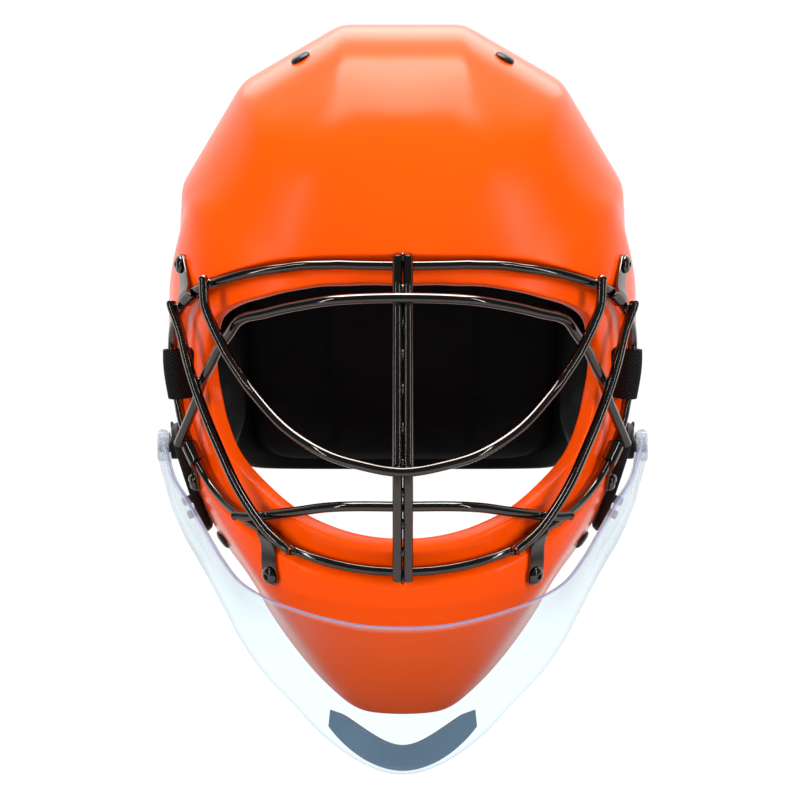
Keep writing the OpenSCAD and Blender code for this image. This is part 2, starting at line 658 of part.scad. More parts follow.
// Straps: a flat band along a path. Each stop is a place and the way the band faces there
function band_loop(p, along, n, w, t) =
  let (x = unit(cross(along, n)) * w / 2, y = unit(cross(x, along)) * t / 2)
  [p + x * 0.96 + y, p - x * 0.96 + y, p - x, p - x * 0.96 - y, p + x * 0.96 - y, p + x];
module band(stops, w, t, steps = 3) {
  path = spline([for (q = stops) q[0]], steps);
  ways = spline([for (q = stops) q[1]], steps);
  n = len(path);
  loft([
    for (i = [0:n - 1])
      band_loop(path[i], unit(path[min(n - 1, i + 1)] - path[max(0, i - 1)]), unit(ways[i]), w, t)
  ]);
}
function inside_stop(a, b, low = 0) =
  [
    skin(a, b) + (depth_at([a, b]) - strap_low - strap_t / 2 - low) * skin_normal(a, b),
    skin_normal(a, b)
  ];
function plate_normal(p) =
  unit(cross(plate_at(p[0] - 0.01, p[1]) - plate_at(p[0], p[1]),
    plate_at(p[0], p[1] + 1) - plate_at(p[0], p[1])));
function plate_stop(p) =
  [plate_at(p[0], p[1]) + (seat + strap_t / 2) * plate_normal(p), plate_normal(p)];
crown_strap_w = 18;
crown_end = plate_rivet_at[0];
crown_stops = concat(
  [for (b = [71.5, 75, 85, 95, 105]) inside_stop(crown_rivet[0], b)],
  [
    inside_stop(crown_rivet[0], 114, 0.4), inside_stop(crown_rivet[0], 122, 1.4),
    [[38, 98.5, 128], [0.1, 0.75, 0.65]],
    [[35.5, 110, 111], [0.1, 1, 0.2]],
    plate_stop(crown_end + [0, 7]), plate_stop(crown_end), plate_stop(crown_end - [0, 8]),
  ]
);
module crown_strap(s) {
  color(black) side(s) difference() {
    band(crown_stops, crown_strap_w, strap_t, 2);
    on_skin(crown_rivet[0], crown_rivet[1]) hole(rivet_d);
    plate_frame(1, crown_end) translate([0, 0, 10]) hole(rivet_d);
  }
}
module crown_strap_left() { crown_strap(-1); }
module crown_strap_right() { crown_strap(1); }

// The side strap is a closed loop of webbing from a slide, through the slot, round the wire
slide_x = 102.5;
slide_y = -17;
bar_r = 1.4;
wrap = 0.95 + strap_t / 2;
function ring_level(z, lo = 85, hi = 118, n = 14) =
  let (m = (lo + hi) / 2)
  n == 0 ? ring_at(m) : ring_at(m)[2] > z ? ring_level(z, m, hi, n - 1) : ring_level(z, lo, m, n - 1);
function side_path(z) =
  let (c = ring_level(z), r = wire_r + wrap, q = bar_r + wrap)
  concat(
    [for (t = [125:-25:-150]) [c[0] + r * cos(t), c[1] + r * sin(t)]],
    [[slot_x - 1.3, c[1] + 5], [slide_x - q, slide_y - 3]],
    [for (t = [180:-45:0]) [slide_x + q * cos(t), slide_y + q * sin(t)]],
    [[slide_x + q + 0.2, slide_y - 5], [slot_x + 0.6, c[1] + 13], [slot_x + 2.3, c[1] + 6.3]]
  );
levels = 4;
function strap_edge(path, k, s) =
  let (
    n = len(path), d = unit(path[(k + 1) % n] - path[(k + n - 1) % n])
  )
  path[k] + [-d[1], d[0]] * s * strap_t / 2;
module side_strap(s) {
  zs = [for (j = [0:levels]) slot_z + strap_w * (j / levels - 0.5)];
  paths = [for (z = zs) side_path(z)];
  color(black) side(s) ring_loft([
    for (k = [0:len(paths[0]) - 1]) concat(
      [for (j = [0:levels]) let (e = strap_edge(paths[j], k, -1)) [e[0], e[1], zs[j]]],
      [for (j = [levels:-1:0]) let (e = strap_edge(paths[j], k, 1)) [e[0], e[1], zs[j]]]
    )
  ]);
}
module side_strap_left() { side_strap(-1); }
module side_strap_right() { side_strap(1); }
slide_l = 15;
module slide(s) {
  color(black) side(s) translate([slide_x, slide_y, slot_z]) {
    for (y = [0, slide_l - 2 * bar_r])
      translate([0, y, 0]) cylinder(r = bar_r, h = strap_w + 4, center = true, $fn = 24);
    for (k = [-1, 1])
      translate([0, slide_l / 2 - bar_r, k * (strap_w / 2 + 2.2)])
        cube([2 * bar_r, slide_l, 2.8], center = true);
  }
}
module slide_left() { slide(-1); }
module slide_right() { slide(1); }
elastic_w = strap_w - 4;
elastic_y = slide_y + slide_l - 2 * bar_r;
elastic_end = plate_rivet_at[1];
function flat_stop(x, y, nx, ny) = [[x, y, slot_z], [nx, ny, 0]];
elastic_stops = concat(
  [flat_stop(slide_x - bar_r - wrap, elastic_y + 12, -1, 0)],
  [
    for (t = [180:30:360])
      flat_stop(slide_x + (bar_r + wrap) * cos(t), elastic_y + (bar_r + wrap) * sin(t), cos(t), sin(t))
  ],
  [
    flat_stop(slide_x + bar_r + wrap - 0.3, elastic_y + 12, 1, 0), flat_stop(102, 32, 1, 0.1),
    flat_stop(97.5, 52, 1, 0.25),
  ],
  [for (u = [0.8, 0.74, 0.68, 0.61]) plate_stop([u, elastic_end[1]])]
);
module side_elastic(s) {
  color(black) side(s) difference() {
    band(elastic_stops, elastic_w, strap_t, 2);
    plate_frame(1, elastic_end) translate([0, 0, 10]) hole(rivet_d);
  }
}
module side_elastic_left() { side_elastic(-1); }
module side_elastic_right() { side_elastic(1); }

// A solid from loops with a single closing point at each end
module cap_loft(loops, first, last) {
  n = len(loops[0]);
  m = len(loops);
  polyhedron(
    points = concat([for (l = loops) each l], [first, last]),
    faces = concat(
      net_faces(m, n, true, false),
      [for (j = [0:n - 1]) [m * n, (j + 1) % n, j]],
      [for (j = [0:n - 1]) [m * n + 1, (m - 1) * n + j, (m - 1) * n + (j + 1) % n]]
    )
  );
}
function rounded(t, q = 0.6) =
  [sign(cos(t)) * pow(abs(cos(t)), q), sign(sin(t)) * pow(abs(sin(t)), q)];
// Throat guard mounts: a black plate that follows the shell, with a boss and two posts
mount_seat = 1.1;
mount_mid = [125, 79.3];
mount_half = [11.5, 8.2];
boss_d = 13;
boss_end = 118.3;
hub_start = boss_end + 0.3;
hub_end = 124.6;
post_at = [[129.4, 73.6], [132.2, 73.4]];
post_d = 4.4;
function patch_loop(f, off, n = 28) = [
  for (k = [0:n - 1])
    let (r = rounded(360 * k / n))
    skin(mount_mid[0] + mount_half[0] * f * r[0], mount_mid[1] + mount_half[1] * f * r[1], off)
];
module at_pivot(x) { translate([x, -pivot_y, -pivot_z]) rotate([0, 90, 0]) children(); }
module mount_plate(s) {
  low = mount_seat;
  high = mount_seat + mount_t;
  color(black) side(s) difference() {
    union() {
      cap_loft(
        concat(
          [for (f = [0.4, 0.75, 0.95]) patch_loop(f, high)],
          [patch_loop(1, high - 1)], [for (f = [1, 0.75, 0.4]) patch_loop(f, low)]
        ),
        skin(mount_mid[0], mount_mid[1], high), skin(mount_mid[0], mount_mid[1], low)
      );
      at_pivot(boss_end - 5.4) cylinder(d = boss_d, h = 5.4, $fn = 36);
      for (q = post_at) on_skin(q[0], q[1]) translate([0, 0, mount_seat + 1])
        cylinder(d = post_d, h = mount_t + 3.5, $fn = 24);
    }
    for (c = mount_screw_at) on_skin(c[0], c[1]) {
      hole(screw_d);
      translate([0, 0, mount_seat + mount_t - 1.6]) cylinder(d = head_d + 0.6, h = 10, $fn = 36);
    }
    at_pivot(boss_end - 5) cylinder(d = pivot_d, h = 20, $fn = 36);
  }
}
module mount_plate_left() { mount_plate(-1); }
module mount_plate_right() { mount_plate(1); }
module mount_screws() {
  color(nickel) for (s = [1, -1]) for (c = mount_screw_at)
    side(s) on_skin(c[0], c[1]) {
      screw(c, mount_seat + seat + mount_t - 1.6);
      translate([0, 0, depth_at(c) - seat - nut_h]) cylinder(d = nut_d, h = nut_h, $fn = 6);
    }
}
module pivot_pins() {
  color(black) for (s = [1, -1]) side(s) {
    at_pivot(boss_end - 4.8) cylinder(d = pivot_d, h = hub_end - 0.4 - boss_end + 4.8, $fn = 36);
  }
}

// Throat guard: clear sheet between an upper and a lower edge, right half, tip first
hub_d = 15;
guard_edges = [
  [[125.6, -2, -31.5], [125.8, -2, -39]], [[125.2, -8, -26.8], [124.2, -8, -46]],
  [[123.5, -18, -24.5], [120.6, -20, -53]], [[121.6, -32, -27.5], [116.4, -35, -61]],
  [[115.8, -50, -42], [109, -50, -73]], [[107, -65, -52], [101.6, -62, -82]],
  [[95.5, -86, -65], [93.4, -77, -92]], [[88.7, -100, -72.1], [86, -92, -101]],
  [[78.4, -120, -79.2], [77.8, -108, -111.5]], [[65, -138, -82.6], [66, -123, -124]],
  [[51.1, -150, -84.9], [52.1, -135, -135.5]], [[36.1, -160, -86.7], [36.8, -145, -148.8]],
  [[18.8, -166, -88.6], [18, -150.5, -160.5]], [[0, -168, -89.1], [0, -152, -165]],
];
guard_rows = concat(guard_edges, [
  for (i = [len(guard_edges) - 2:-1:0]) [flip(guard_edges[i][0]), flip(guard_edges[i][1])]
]);
guard_top = spline([for (r = guard_rows) r[0]], 2);
guard_low = spline([for (r = guard_rows) r[1]], 2);
guard_n = len(guard_top);
guard_bulge = 4;
// A place on the middle of the sheet: i along it, v down it, and the way it faces there
function guard_bare(i, v) = mix(guard_top[i], guard_low[i], v);
function guard_normal(i) =
  let (j = max(1, min(guard_n - 2, i)))
  unit(cross(guard_low[j] - guard_top[j], guard_bare(j + 1, 0.5) - guard_bare(j - 1, 0.5)));
function guard_at(i, v, off = 0) =
  let (w = ease(5, 22, min(i, guard_n - 1 - i)))
  guard_bare(i, v) + (off + guard_bulge * w * sin(180 * v)) * guard_normal(i);
guard_v = [0, 0.06, 0.25, 0.5, 0.75, 0.94, 1];
// How much thicker the moulded arm is on its inner side, against the step along it
arm_table = [[0, 3.6], [2, 3.4], [4, 1.8], [6, 0], [8, 0.8], [10, 1.2], [12, 0]];
function arm_more(i) = smooth_table(arm_table, min(i, guard_n - 1 - i));
function guard_loop(i, t0, t1) = concat(
  [for (v = guard_v) guard_at(i, v, (v == 0 || v == 1) ? mix(t0, t1, 0.3) : t0)],
  [for (v = [1, 0.94, 0.75, 0.5, 0.25, 0.06, 0]) guard_at(i, v, (v == 0 || v == 1) ? mix(t0, t1, 0.7) : t1)]
);
module throat_guard() {
  color(clear) difference() {
    union() {
      loft([for (i = [guard_n - 1:-1:0]) guard_loop(i, guard_t / 2 + arm_more(i), -guard_t / 2)]);
      for (s = [1, -1]) side(s) at_pivot(hub_start)
        cylinder(d = hub_d, h = hub_end - hub_start, $fn = 36);
    }
    for (s = [1, -1]) side(s) at_pivot(hub_start - 5)
      cylinder(d = pivot_d + 2 * pivot_gap, h = 20, $fn = 36);
  }
}
// Foam trim behind the sheet, along the front of its lower edge
pad_half = 4;
guard_pad_t = 5;
module guard_pad() {
  m = (guard_n - 1) / 2;
  color(black) loft([
    for (i = [m - pad_half:m + pad_half])
      let (
        u = (i - m) / pad_half, v1 = 0.985 - 0.06 * u ^ 4,
        v0 = 0.823 - 0.06 * ease(0, 0.8, abs(u)) + 0.025 * ease(0.8, 1, abs(u)),
        t = guard_pad_t * (0.35 + 0.65 * sqrt(1 - u ^ 4)), o = guard_t / 2 + seat
      )
      concat(
        [for (v = [0, 0.25, 0.5, 0.75, 1]) guard_at(i, mix(v0, v1, v), o)],
        [
          for (v = [1, 0.75, 0.5, 0.25, 0])
            guard_at(i, mix(v0, v1, v), o + t * (0.4 + 0.6 * sin(180 * v)))
        ]
      )
  ]);
}

// Chin cup and its two straps, under the wearer's chin
cup_y = -74;
cup_z = -98;
cup_a = 34;
cup_b = 21;
cup_h = 13;
cup_t = 3.5;
function cup_loop(f, off, n = 24) = [
  for (k = [0:n - 1])
    let (r = rounded(360 * k / n, 0.85))
    [cup_a * f * r[0], cup_y + cup_b * f * r[1], cup_z - cup_h * (1 - f ^ 2.4) + off]
];
module chin_cup() {
  color(black) cap_loft(
    concat(
      [for (f = [0.4, 0.75, 0.93, 1]) cup_loop(f, cup_t / 2)],
      [for (f = [1, 0.93, 0.75, 0.4]) cup_loop(f, -cup_t / 2)]
    ),
    [0, cup_y, cup_z - cup_h + cup_t / 2], [0, cup_y, cup_z - cup_h - cup_t / 2]
  );
}
chin_strap_w = 16;
chin_stops = concat(
  [inside_stop(135.5, jaw_rivet[1] - 0.3), inside_stop(jaw_rivet[0], jaw_rivet[1], -0.25)],
  [inside_stop(142.5, jaw_rivet[1] + 0.3, 1), inside_stop(146, jaw_rivet[1] + 0.5, 6)],
  [
    [[61, -62, -94], [0.45, -0.1, -0.9]],
    [[48, -68, -101.5], [0.25, -0.05, -0.95]],
    [[cup_a - 2, cup_y, -cup_t / 2 - cup_h * 0.16 + cup_z - 3], [0.3, 0, -0.9]],
    [[cup_a * 0.75, cup_y, -cup_t / 2 - cup_h * 0.5 + cup_z - 2.2], [0.35, 0, -0.9]],
    [[cup_a * 0.45, cup_y, -cup_t / 2 - cup_h * 0.85 + cup_z - 2], [0.2, 0, -0.95]],
  ]
);
module chin_strap(s) {
  color(black) side(s) difference() {
    band(chin_stops, chin_strap_w, strap_t, 2);
    on_skin(jaw_rivet[0], jaw_rivet[1]) hole(rivet_d);
  }
}
module chin_strap_left() { chin_strap(-1); }
module chin_strap_right() { chin_strap(1); }

shell();
brow_pad();
crown_pad();
temple_pad_left();
temple_pad_right();
ear_pad_left();
ear_pad_right();
jaw_pad_left();
jaw_pad_right();
cage_ring();
brow_bar();
u_bar();
side_bar_left();
side_bar_right();
jaw_bar();
centre_bar_left();
centre_bar_right();
upper_clip_left();
upper_clip_right();
side_clip_left();
side_clip_right();
lower_clip_left();
lower_clip_right();
clip_screws();
clip_nuts();
crown_rivets();
jaw_rivets();
back_plate();
back_pad();
crown_strap_left();
crown_strap_right();
plate_rivets();
side_strap_left();
side_strap_right();
slide_left();
slide_right();
side_elastic_left();
side_elastic_right();
mount_plate_left();
mount_plate_right();
mount_screws();
pivot_pins();
throat_guard();
guard_pad();
chin_cup();
chin_strap_left();
chin_strap_right();
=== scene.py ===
"""Dresses the goalkeeper helmet's frame: shell, cage, padding, straps and throat guard."""
import math

import bpy
import numpy as np
from mathutils import Matrix, Vector
from mathutils.kdtree import KDTree


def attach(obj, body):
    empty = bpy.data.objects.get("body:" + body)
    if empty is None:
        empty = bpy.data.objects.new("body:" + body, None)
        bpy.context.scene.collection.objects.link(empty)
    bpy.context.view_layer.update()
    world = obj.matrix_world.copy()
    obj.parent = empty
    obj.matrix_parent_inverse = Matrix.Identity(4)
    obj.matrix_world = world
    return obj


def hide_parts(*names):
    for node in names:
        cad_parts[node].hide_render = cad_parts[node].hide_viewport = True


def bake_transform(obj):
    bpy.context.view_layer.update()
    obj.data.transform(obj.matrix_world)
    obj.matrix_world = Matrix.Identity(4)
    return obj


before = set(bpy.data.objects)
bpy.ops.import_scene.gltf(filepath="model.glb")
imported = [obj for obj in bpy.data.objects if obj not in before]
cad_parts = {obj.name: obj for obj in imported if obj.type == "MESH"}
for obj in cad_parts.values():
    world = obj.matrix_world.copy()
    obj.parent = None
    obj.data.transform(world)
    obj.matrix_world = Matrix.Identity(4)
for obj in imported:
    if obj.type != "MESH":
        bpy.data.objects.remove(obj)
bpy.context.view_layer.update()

MM = 0.001

# Sizes, in millimetres

SHELL_CENTRE_Z = 30
CROWN_FACET, UPPER_FACET, SIDE_FACET = 150.5, 146, 132
TEMPLE_FACET, CHEEK_FACET, JAW_FACET = 113.5, 123, 148
BROW_REACH, TEMPLE_REACH, CHIN_REACH, REAR_REACH = 133, 96, 150, 150
SHELL_WALL = 4.5
BROW_FLARE = 4.4
CHANNEL_DEPTH = 6
FACE_HALF_WIDTH, FACE_TOP, FACE_LOW = 97, 66.5, 58
WIRE = 4.8
WIRE_RADIUS = WIRE / 2
RING_GAP = 2.2
U_BAR_REACH = 163
CLIP_METAL, CLIP_WIDTH = 1.4, 10
STRAP_WIDTH, STRAP_THICK = 24.5, 1.5
SLOT_TALL, SLOT_WIDE, SLOT_LONG = 29, 7.5, 68
SLOT_X, SLOT_Y, SLOT_Z = 106.5, -60, 10.5
EAR_OPENING, EAR_AT = (40, 46, 32), (110, 14, -3)
BACK_HALF_WIDTH, BACK_LOW, BACK_WALL, BACK_FOAM = 100, 72, 3.2, 13
BROW_FOAM, CROWN_FOAM, SIDE_FOAM = 13, 14, 11
GUARD_SHEET = 3
PIVOT_Y, PIVOT_Z = 28, 31
MOUNT_THICK, MOUNT_SEAT = 4.5, 1.1
SEAT = 0.3
FLOOR_Z = -260
# The radius at which a spun solid's outline starts, so that its middle closes
MIDDLE = 0.001


# Curves

def mix(a, b, t):
    return a + (b - a) * t


def ease(a, b, x):
    t = np.clip((np.asarray(x, float) - a) / (b - a), 0, 1)
    return t * t * (3 - 2 * t)


def unit(v):
    v = np.asarray(v, float)
    return v / np.linalg.norm(v, axis=-1, keepdims=True)


def cosd(x):
    return np.cos(np.radians(x))


def sind(x):
    return np.sin(np.radians(x))


def hermite(t, start, leaving, end, arriving):
    """A smooth way from start to end, by the slopes it leaves and arrives with."""
    return (
        (2 * t**3 - 3 * t**2 + 1) * start + (t**3 - 2 * t**2 + t) * leaving
        + (3 * t**2 - 2 * t**3) * end + (t**3 - t**2) * arriving
    )


def smooth_table(stops, x):
    """A smooth curve through stops of place and value."""
    place, value = np.asarray(stops, float).T
    slope = np.zeros(len(place))
    slope[1:-1] = (value[2:] - value[:-2]) / (place[2:] - place[:-2])
    x = np.clip(np.asarray(x, float), place[0], place[-1])
    i = np.clip(np.searchsorted(place, x, side="right") - 1, 0, len(place) - 2)
    h = place[i + 1] - place[i]
    return hermite((x - place[i]) / h, value[i], h * slope[i], value[i + 1], h * slope[i + 1])


def spline(points, steps, closed=False):
    """A smooth path through points, in steps between each pair."""
    p = np.asarray(points, float)
    if closed:
        p = np.concatenate([p[-1:], p, p[:2]])
    else:
        p = np.concatenate([2 * p[:1] - p[1:2], p, 2 * p[-1:] - p[-2:-1]])
    a, b, c, d = (p[k : len(p) - 3 + k, None] for k in range(4))
    t = (np.arange(steps) / steps)[:, None]
    q = 0.5 * (2 * b + (c - a) * t + (2 * a - 5 * b + 4 * c - d) * t**2 + (3 * b - a - 3 * c + d) * t**3)
    q = q.reshape(-1, p.shape[1])
    return q if closed else np.concatenate([q, p[-2:-1]])


def lengths(path):
    """How far along a path each of its points lies."""
    return np.concatenate([[0], np.cumsum(np.linalg.norm(np.diff(path, axis=0), axis=1))])


def squared_circle(count, power):
    """Points round a circle that is drawn out towards a square, more so with a smaller power."""
    t = np.linspace(0, 360, count, endpoint=False)
    return np.stack([np.sign(turn(t)) * np.abs(turn(t)) ** power for turn in (cosd, sind)], -1)


def corner_pull(u, v, power):
    """How far the points of a square plan are drawn in for its corners to come out round."""
    far = np.maximum(np.abs(u), np.abs(v)) + 1e-9
    return far / (np.abs(u) ** power + np.abs(v) ** power + 1e-12) ** (1 / power)


def ridges(places, wide, x):
    """A sum of round ridges, at most 1 high, at these places along x."""
    return np.clip(sum(np.exp(-(((x - s) / wide) ** 2)) for s in places), 0, 1)


# The shell's skin, by the angle around (0 up, 180 down) and the angle back (0 ahead, 180 behind)

CENTRE = np.array([0, 0, SHELL_CENTRE_Z])
FRONT_FACETS = [
    (0, CROWN_FACET), (30, UPPER_FACET), (59, SIDE_FACET), (88, TEMPLE_FACET),
    (107, CHEEK_FACET), (140, CHEEK_FACET + 53), (180, CROWN_FACET + 58),
]
FRONT_REACH = [
    (0, BROW_REACH), (45, BROW_REACH - 5), (66, BROW_REACH - 10), (80, TEMPLE_REACH + 18),
    (92, TEMPLE_REACH + 1), (125, TEMPLE_REACH + 16), (150, CHIN_REACH - 10), (180, CHIN_REACH),
]
BACK_REACH = [(0, REAR_REACH), (60, REAR_REACH - 10), (90, REAR_REACH - 30), (180, REAR_REACH - 30)]
FULLNESS = [(0, 2.3), (60, 2.6), (90, 3), (125, 3.2), (180, 3.2)]
SOFT_CREASE, SHARP_CREASE, CROWN_CREASE, JAW_CREASE = 10, 55, 170, 40
CROWN_SIDE, CREASES_RISE, CHIN_FADE = (55, 75), (32, 62), (50, 68)
CHIN_DRAW = [
    (0, 0), (126, 0), (135, 0.013), (140, 0.029), (145, 0.045), (150, 0.042), (155, 0.027),
    (160, 0.019), (165, 0.018), (170, 0.024), (175, 0.015), (180, 0.006),
]
JAW_WAY = unit([0.8, 0.33, 0.5])


def fold(a):
    """An angle around as its distance from straight up, the same for both sides."""
    a = np.asarray(a, float)
    return np.abs(a - 360 * np.round(a / 360))


def front_radius(a, p):
    """The front outline: flat facets that meet in creases, sharper with a larger p."""
    total = 0
    for turn, far in FRONT_FACETS:
        for s in ((1,) if turn in (0, 180) else (1, -1)):
            total = total + np.maximum(100 * cosd(a - s * turn) / far, 0) ** p
    return 100 * 2 ** (0.7 / p) * total ** (-1 / p)


def direction(a, b):
    return np.stack(np.broadcast_arrays(sind(b) * sind(a), -cosd(b), sind(b) * cosd(a)), -1)


def flare(a, b):
    """The rise along the shell's front edge, over the temples."""
    edge, s = mix(64, 84, ease(50, 90, a)), ease(56, 80, b)
    rise = ease(0, 1, (a - mix(48, 66, s)) / (mix(70, 82, s) - mix(48, 66, s)))
    return BROW_FLARE * rise * (1 - ease(96, 109, a)) * (1 - ease(0, 5, b - edge + 2.5))


def skin_radius(a, b):
    aa, b = fold(a), np.asarray(b, float)
    sharp = mix(1 / CROWN_CREASE, 1 / SHARP_CREASE, ease(*CROWN_SIDE, aa))
    p = 1 / mix(1 / SOFT_CREASE, sharp, ease(*CREASES_RISE, b))
    n = smooth_table(FULLNESS, aa)
    reach = np.where(b < 90, smooth_table(FRONT_REACH, aa), smooth_table(BACK_REACH, aa))
    dome = ((np.abs(cosd(b)) / reach) ** n + (sind(b) / front_radius(aa, p)) ** n) ** (-1 / n)
    side = np.maximum(0, direction(aa, b) @ (JAW_WAY * [1, -1, -1]))
    jaw = ((100 / dome) ** JAW_CREASE + (100 * side / JAW_FACET) ** JAW_CREASE) ** (-1 / JAW_CREASE)
    return 100 * jaw * (1 - smooth_table(CHIN_DRAW, aa) * ease(*CHIN_FADE, b)) + flare(aa, b)


def skin(a, b, off=0.0):
    """A place on the shell, by its angles around and back, moved out by off."""
    r = skin_radius(a, b) + off
    return CENTRE + r[..., None] * direction(a, b)


def skin_normal(a, b):
    return unit(np.cross(skin(a + 0.5, b) - skin(a - 0.5, b), skin(a, b + 0.5) - skin(a, b - 0.5)))


def skin_axes(a, b):
    z = skin_normal(a, b)
    x = unit(np.cross(skin(a, b - 0.5) - skin(a, b + 0.5), z))
    return np.array([x, np.cross(z, x), z])


def polar(points):
    """Points of a front view, across and up, as the angle around and the distance out."""
    p = np.asarray(points, float) - [0, SHELL_CENTRE_Z]
    return np.stack([np.degrees(np.arctan2(p[:, 0], p[:, 1])), np.hypot(p[:, 0], p[:, 1])], -1)


WIDE, TOP, LOW = FACE_HALF_WIDTH, FACE_TOP, FACE_LOW
FACE_EDGE = polar([
    (0, TOP), (24, TOP - 0.5), (46, TOP - 2.5), (68, TOP - 8), (WIDE - 13, TOP - 14.5),
    (WIDE - 5, TOP - 21.5), (WIDE - 1, 31), (WIDE, 19), (WIDE - 2, 3), (WIDE - 5.5, -10.5),
    (WIDE - 14, -27), (65, 17 - LOW), (35, 4.5 - LOW), (0, -LOW),
])
CHANNEL_LIP = polar([
    (0, TOP + 13), (22, TOP + 12.5), (45, TOP + 11), (68, TOP + 7), (WIDE - 13, TOP + 1.5),
    (WIDE + 2, TOP - 6.5), (WIDE + 12, TOP - 16), (WIDE + 18.5, 38), (WIDE + 20, 22),
    (WIDE + 18.5, 3), (WIDE + 14.5, -14), (WIDE + 8, -31), (WIDE - 1, -45), (WIDE - 14, -54),
    (71, -1.5 - LOW), (57, -8.5 - LOW), (41, -13.5 - LOW), (21, -17 - LOW), (0, -18 - LOW),
])
RING_LINE = polar([
    (0, TOP + 8.6), (30, TOP + 7.9), (53, TOP + 5.6), (68, TOP + 2.9), (WIDE - 13, TOP - 1.5),
    (WIDE - 4, TOP - 5), (WIDE + 3.5, TOP - 9.5), (WIDE + 11, TOP - 19), (WIDE + 16, 36),
    (WIDE + 17.5, 22), (WIDE + 16, 3), (WIDE + 12.3, -14), (WIDE + 5.3, -29.5), (WIDE - 3.5, -42),
    (WIDE - 15.5, -50.5), (69, 2 - LOW), (55, -4 - LOW), (40, -7.5 - LOW), (21, -10.5 - LOW),
    (0, -11.5 - LOW),
])
RIM = np.array([
    (0, REAR_REACH - 5, 69), (34, REAR_REACH - 8, 68), (66, REAR_REACH - 25, 62),
    (89, REAR_REACH - 56, 46), (103, REAR_REACH - 79, 10), (109, 56, -28), (106, 34, -50),
    (101, 8, -65), (94, -20, -77), (82, -45, -90), (68, -62, -110), (55, -76, -124.5),
    (39, -92, -137.5), (20, -108, -145), (0, -113, -147),
], float)
LIP_LIMIT, RING_LIMIT, LIP_ROOM = 70, 66.5, 2


def back_at(a, far, off=0.0):
    """The angle back at which the skin lies this far off the front axis."""
    a, far = np.broadcast_arrays(np.asarray(a, float), np.asarray(far, float))
    lo, hi = np.full(a.shape, 5.0), np.full(a.shape, 100.0)
    for _ in range(22):
        m = (lo + hi) / 2
        short = (skin_radius(a, m) + off) * sind(m) < far
        lo, hi = np.where(short, m, lo), np.where(short, hi, m)
    return (lo + hi) / 2


def open_back(a):
    return back_at(a, smooth_table(FACE_EDGE, fold(a)))


def lip_back(a):
    return np.minimum(LIP_LIMIT, back_at(a, smooth_table(CHANNEL_LIP, fold(a))))


def rim_back(a):
    x, y, z = (RIM - CENTRE).T
    around, back = np.degrees(np.arctan2(x, z)), np.degrees(np.arctan2(np.hypot(x, z), -y))
    return smooth_table(np.stack([around, back], -1), fold(a))


def ring_at(a):
    """The middle of the ring wire, which lies in the shell's channel."""
    a = np.asarray(a, float)
    side = ease(60, 82, fold(a)) * (1 - ease(112, 135, fold(a)))
    off = WIRE_RADIUS + RING_GAP - CHANNEL_DEPTH + 2.5 * side
    b = back_at(a, smooth_table(RING_LINE, fold(a)), off)
    return skin(a, np.minimum(RING_LIMIT, np.minimum(lip_back(a) - LIP_ROOM, b)), off)


def inside_off(b, lip):
    return -SHELL_WALL - (CHANNEL_DEPTH - 2) * (1 - ease(1, 11, b - lip))


def inner_face(a, b):
    """How far the shell's inner face lies off its skin, with a little room."""
    return inside_off(np.asarray(b, float) - 4, lip_back(a)) - 0.4


# Making meshes

def rest():
    """Object mode, with nothing selected."""
    if bpy.context.object and bpy.context.object.mode != "OBJECT":
        bpy.ops.object.mode_set(mode="OBJECT")
    bpy.ops.object.select_all(action="DESELECT")


def pick(piece, *more):
    rest()
    for o in (piece, *more):
        o.select_set(True)
    bpy.context.view_layer.objects.active = piece
    return piece


def edit_all(piece):
    pick(piece)
    bpy.ops.object.mode_set(mode="EDIT")
    bpy.ops.mesh.select_all(action="SELECT")


def merge(piece, near=0.02):
    """Closes a piece's seams and turns its faces outwards."""
    edit_all(piece)
    bpy.ops.mesh.remove_doubles(threshold=near * MM)
    bpy.ops.mesh.normals_make_consistent(inside=False)
    rest()
    return piece


def close_ends(piece):
    edit_all(piece)
    bpy.ops.mesh.fill_holes(sides=0)
    return merge(piece, 0.01)


def shaped_grid(name, points, closed_u=False, closed_v=False, spread=None):
    """A grid laid on points[u][v], in millimetres. spread gives each point's place on the cloth."""
    p = np.asarray(points, float)
    if closed_u:
        p = np.concatenate([p, p[:1]])
    if closed_v:
        p = np.concatenate([p, p[:, :1]], 1)
    nu, nv = p.shape[:2]
    rest()
    bpy.ops.mesh.primitive_grid_add(x_subdivisions=nu - 1, y_subdivisions=nv - 1, size=1)
    piece = bpy.context.object
    piece.name = piece.data.name = name
    at = np.array([v.co for v in piece.data.vertices])
    i = np.rint((at[:, 0] + 0.5) * (nu - 1)).astype(int)
    j = np.rint((at[:, 1] + 0.5) * (nv - 1)).astype(int)
    piece.data.vertices.foreach_set("co", (p[i, j] * MM).ravel())
    if spread is not None:
        s = np.asarray(spread, float)[i, j] * MM
        corner = np.zeros(len(piece.data.loops), int)
        piece.data.loops.foreach_get("vertex_index", corner)
        piece.data.uv_layers[0].data.foreach_set("uv", s[corner].ravel())
    if closed_u or closed_v:
        merge(piece)
    return piece


def finish_with(piece, *steps):
    """Adds modifiers by kind and settings and applies each."""
    pick(piece)
    for kind, settings in steps:
        m = piece.modifiers.new(kind.title(), kind)
        for k, v in settings.items():
            setattr(m, k, v)
        bpy.ops.object.modifier_apply(modifier=m.name)
    return piece


def bevel(width, segments=2, angle=35):
    return ("BEVEL", {
        "width": width * MM, "segments": segments, "limit_method": "ANGLE",
        "angle_limit": math.radians(angle), "harden_normals": False,
    })


def wall(thick):
    return ("SOLIDIFY", {"thickness": thick * MM, "offset": 0.0, "use_even_offset": True})


def smooth(piece, angle=35):
    pick(piece)
    bpy.ops.object.shade_smooth_by_angle(angle=math.radians(angle))
    return piece


def join(name, pieces):
    pick(*pieces)
    bpy.ops.object.join()
    piece = bpy.context.object
    piece.name = piece.data.name = name
    return piece


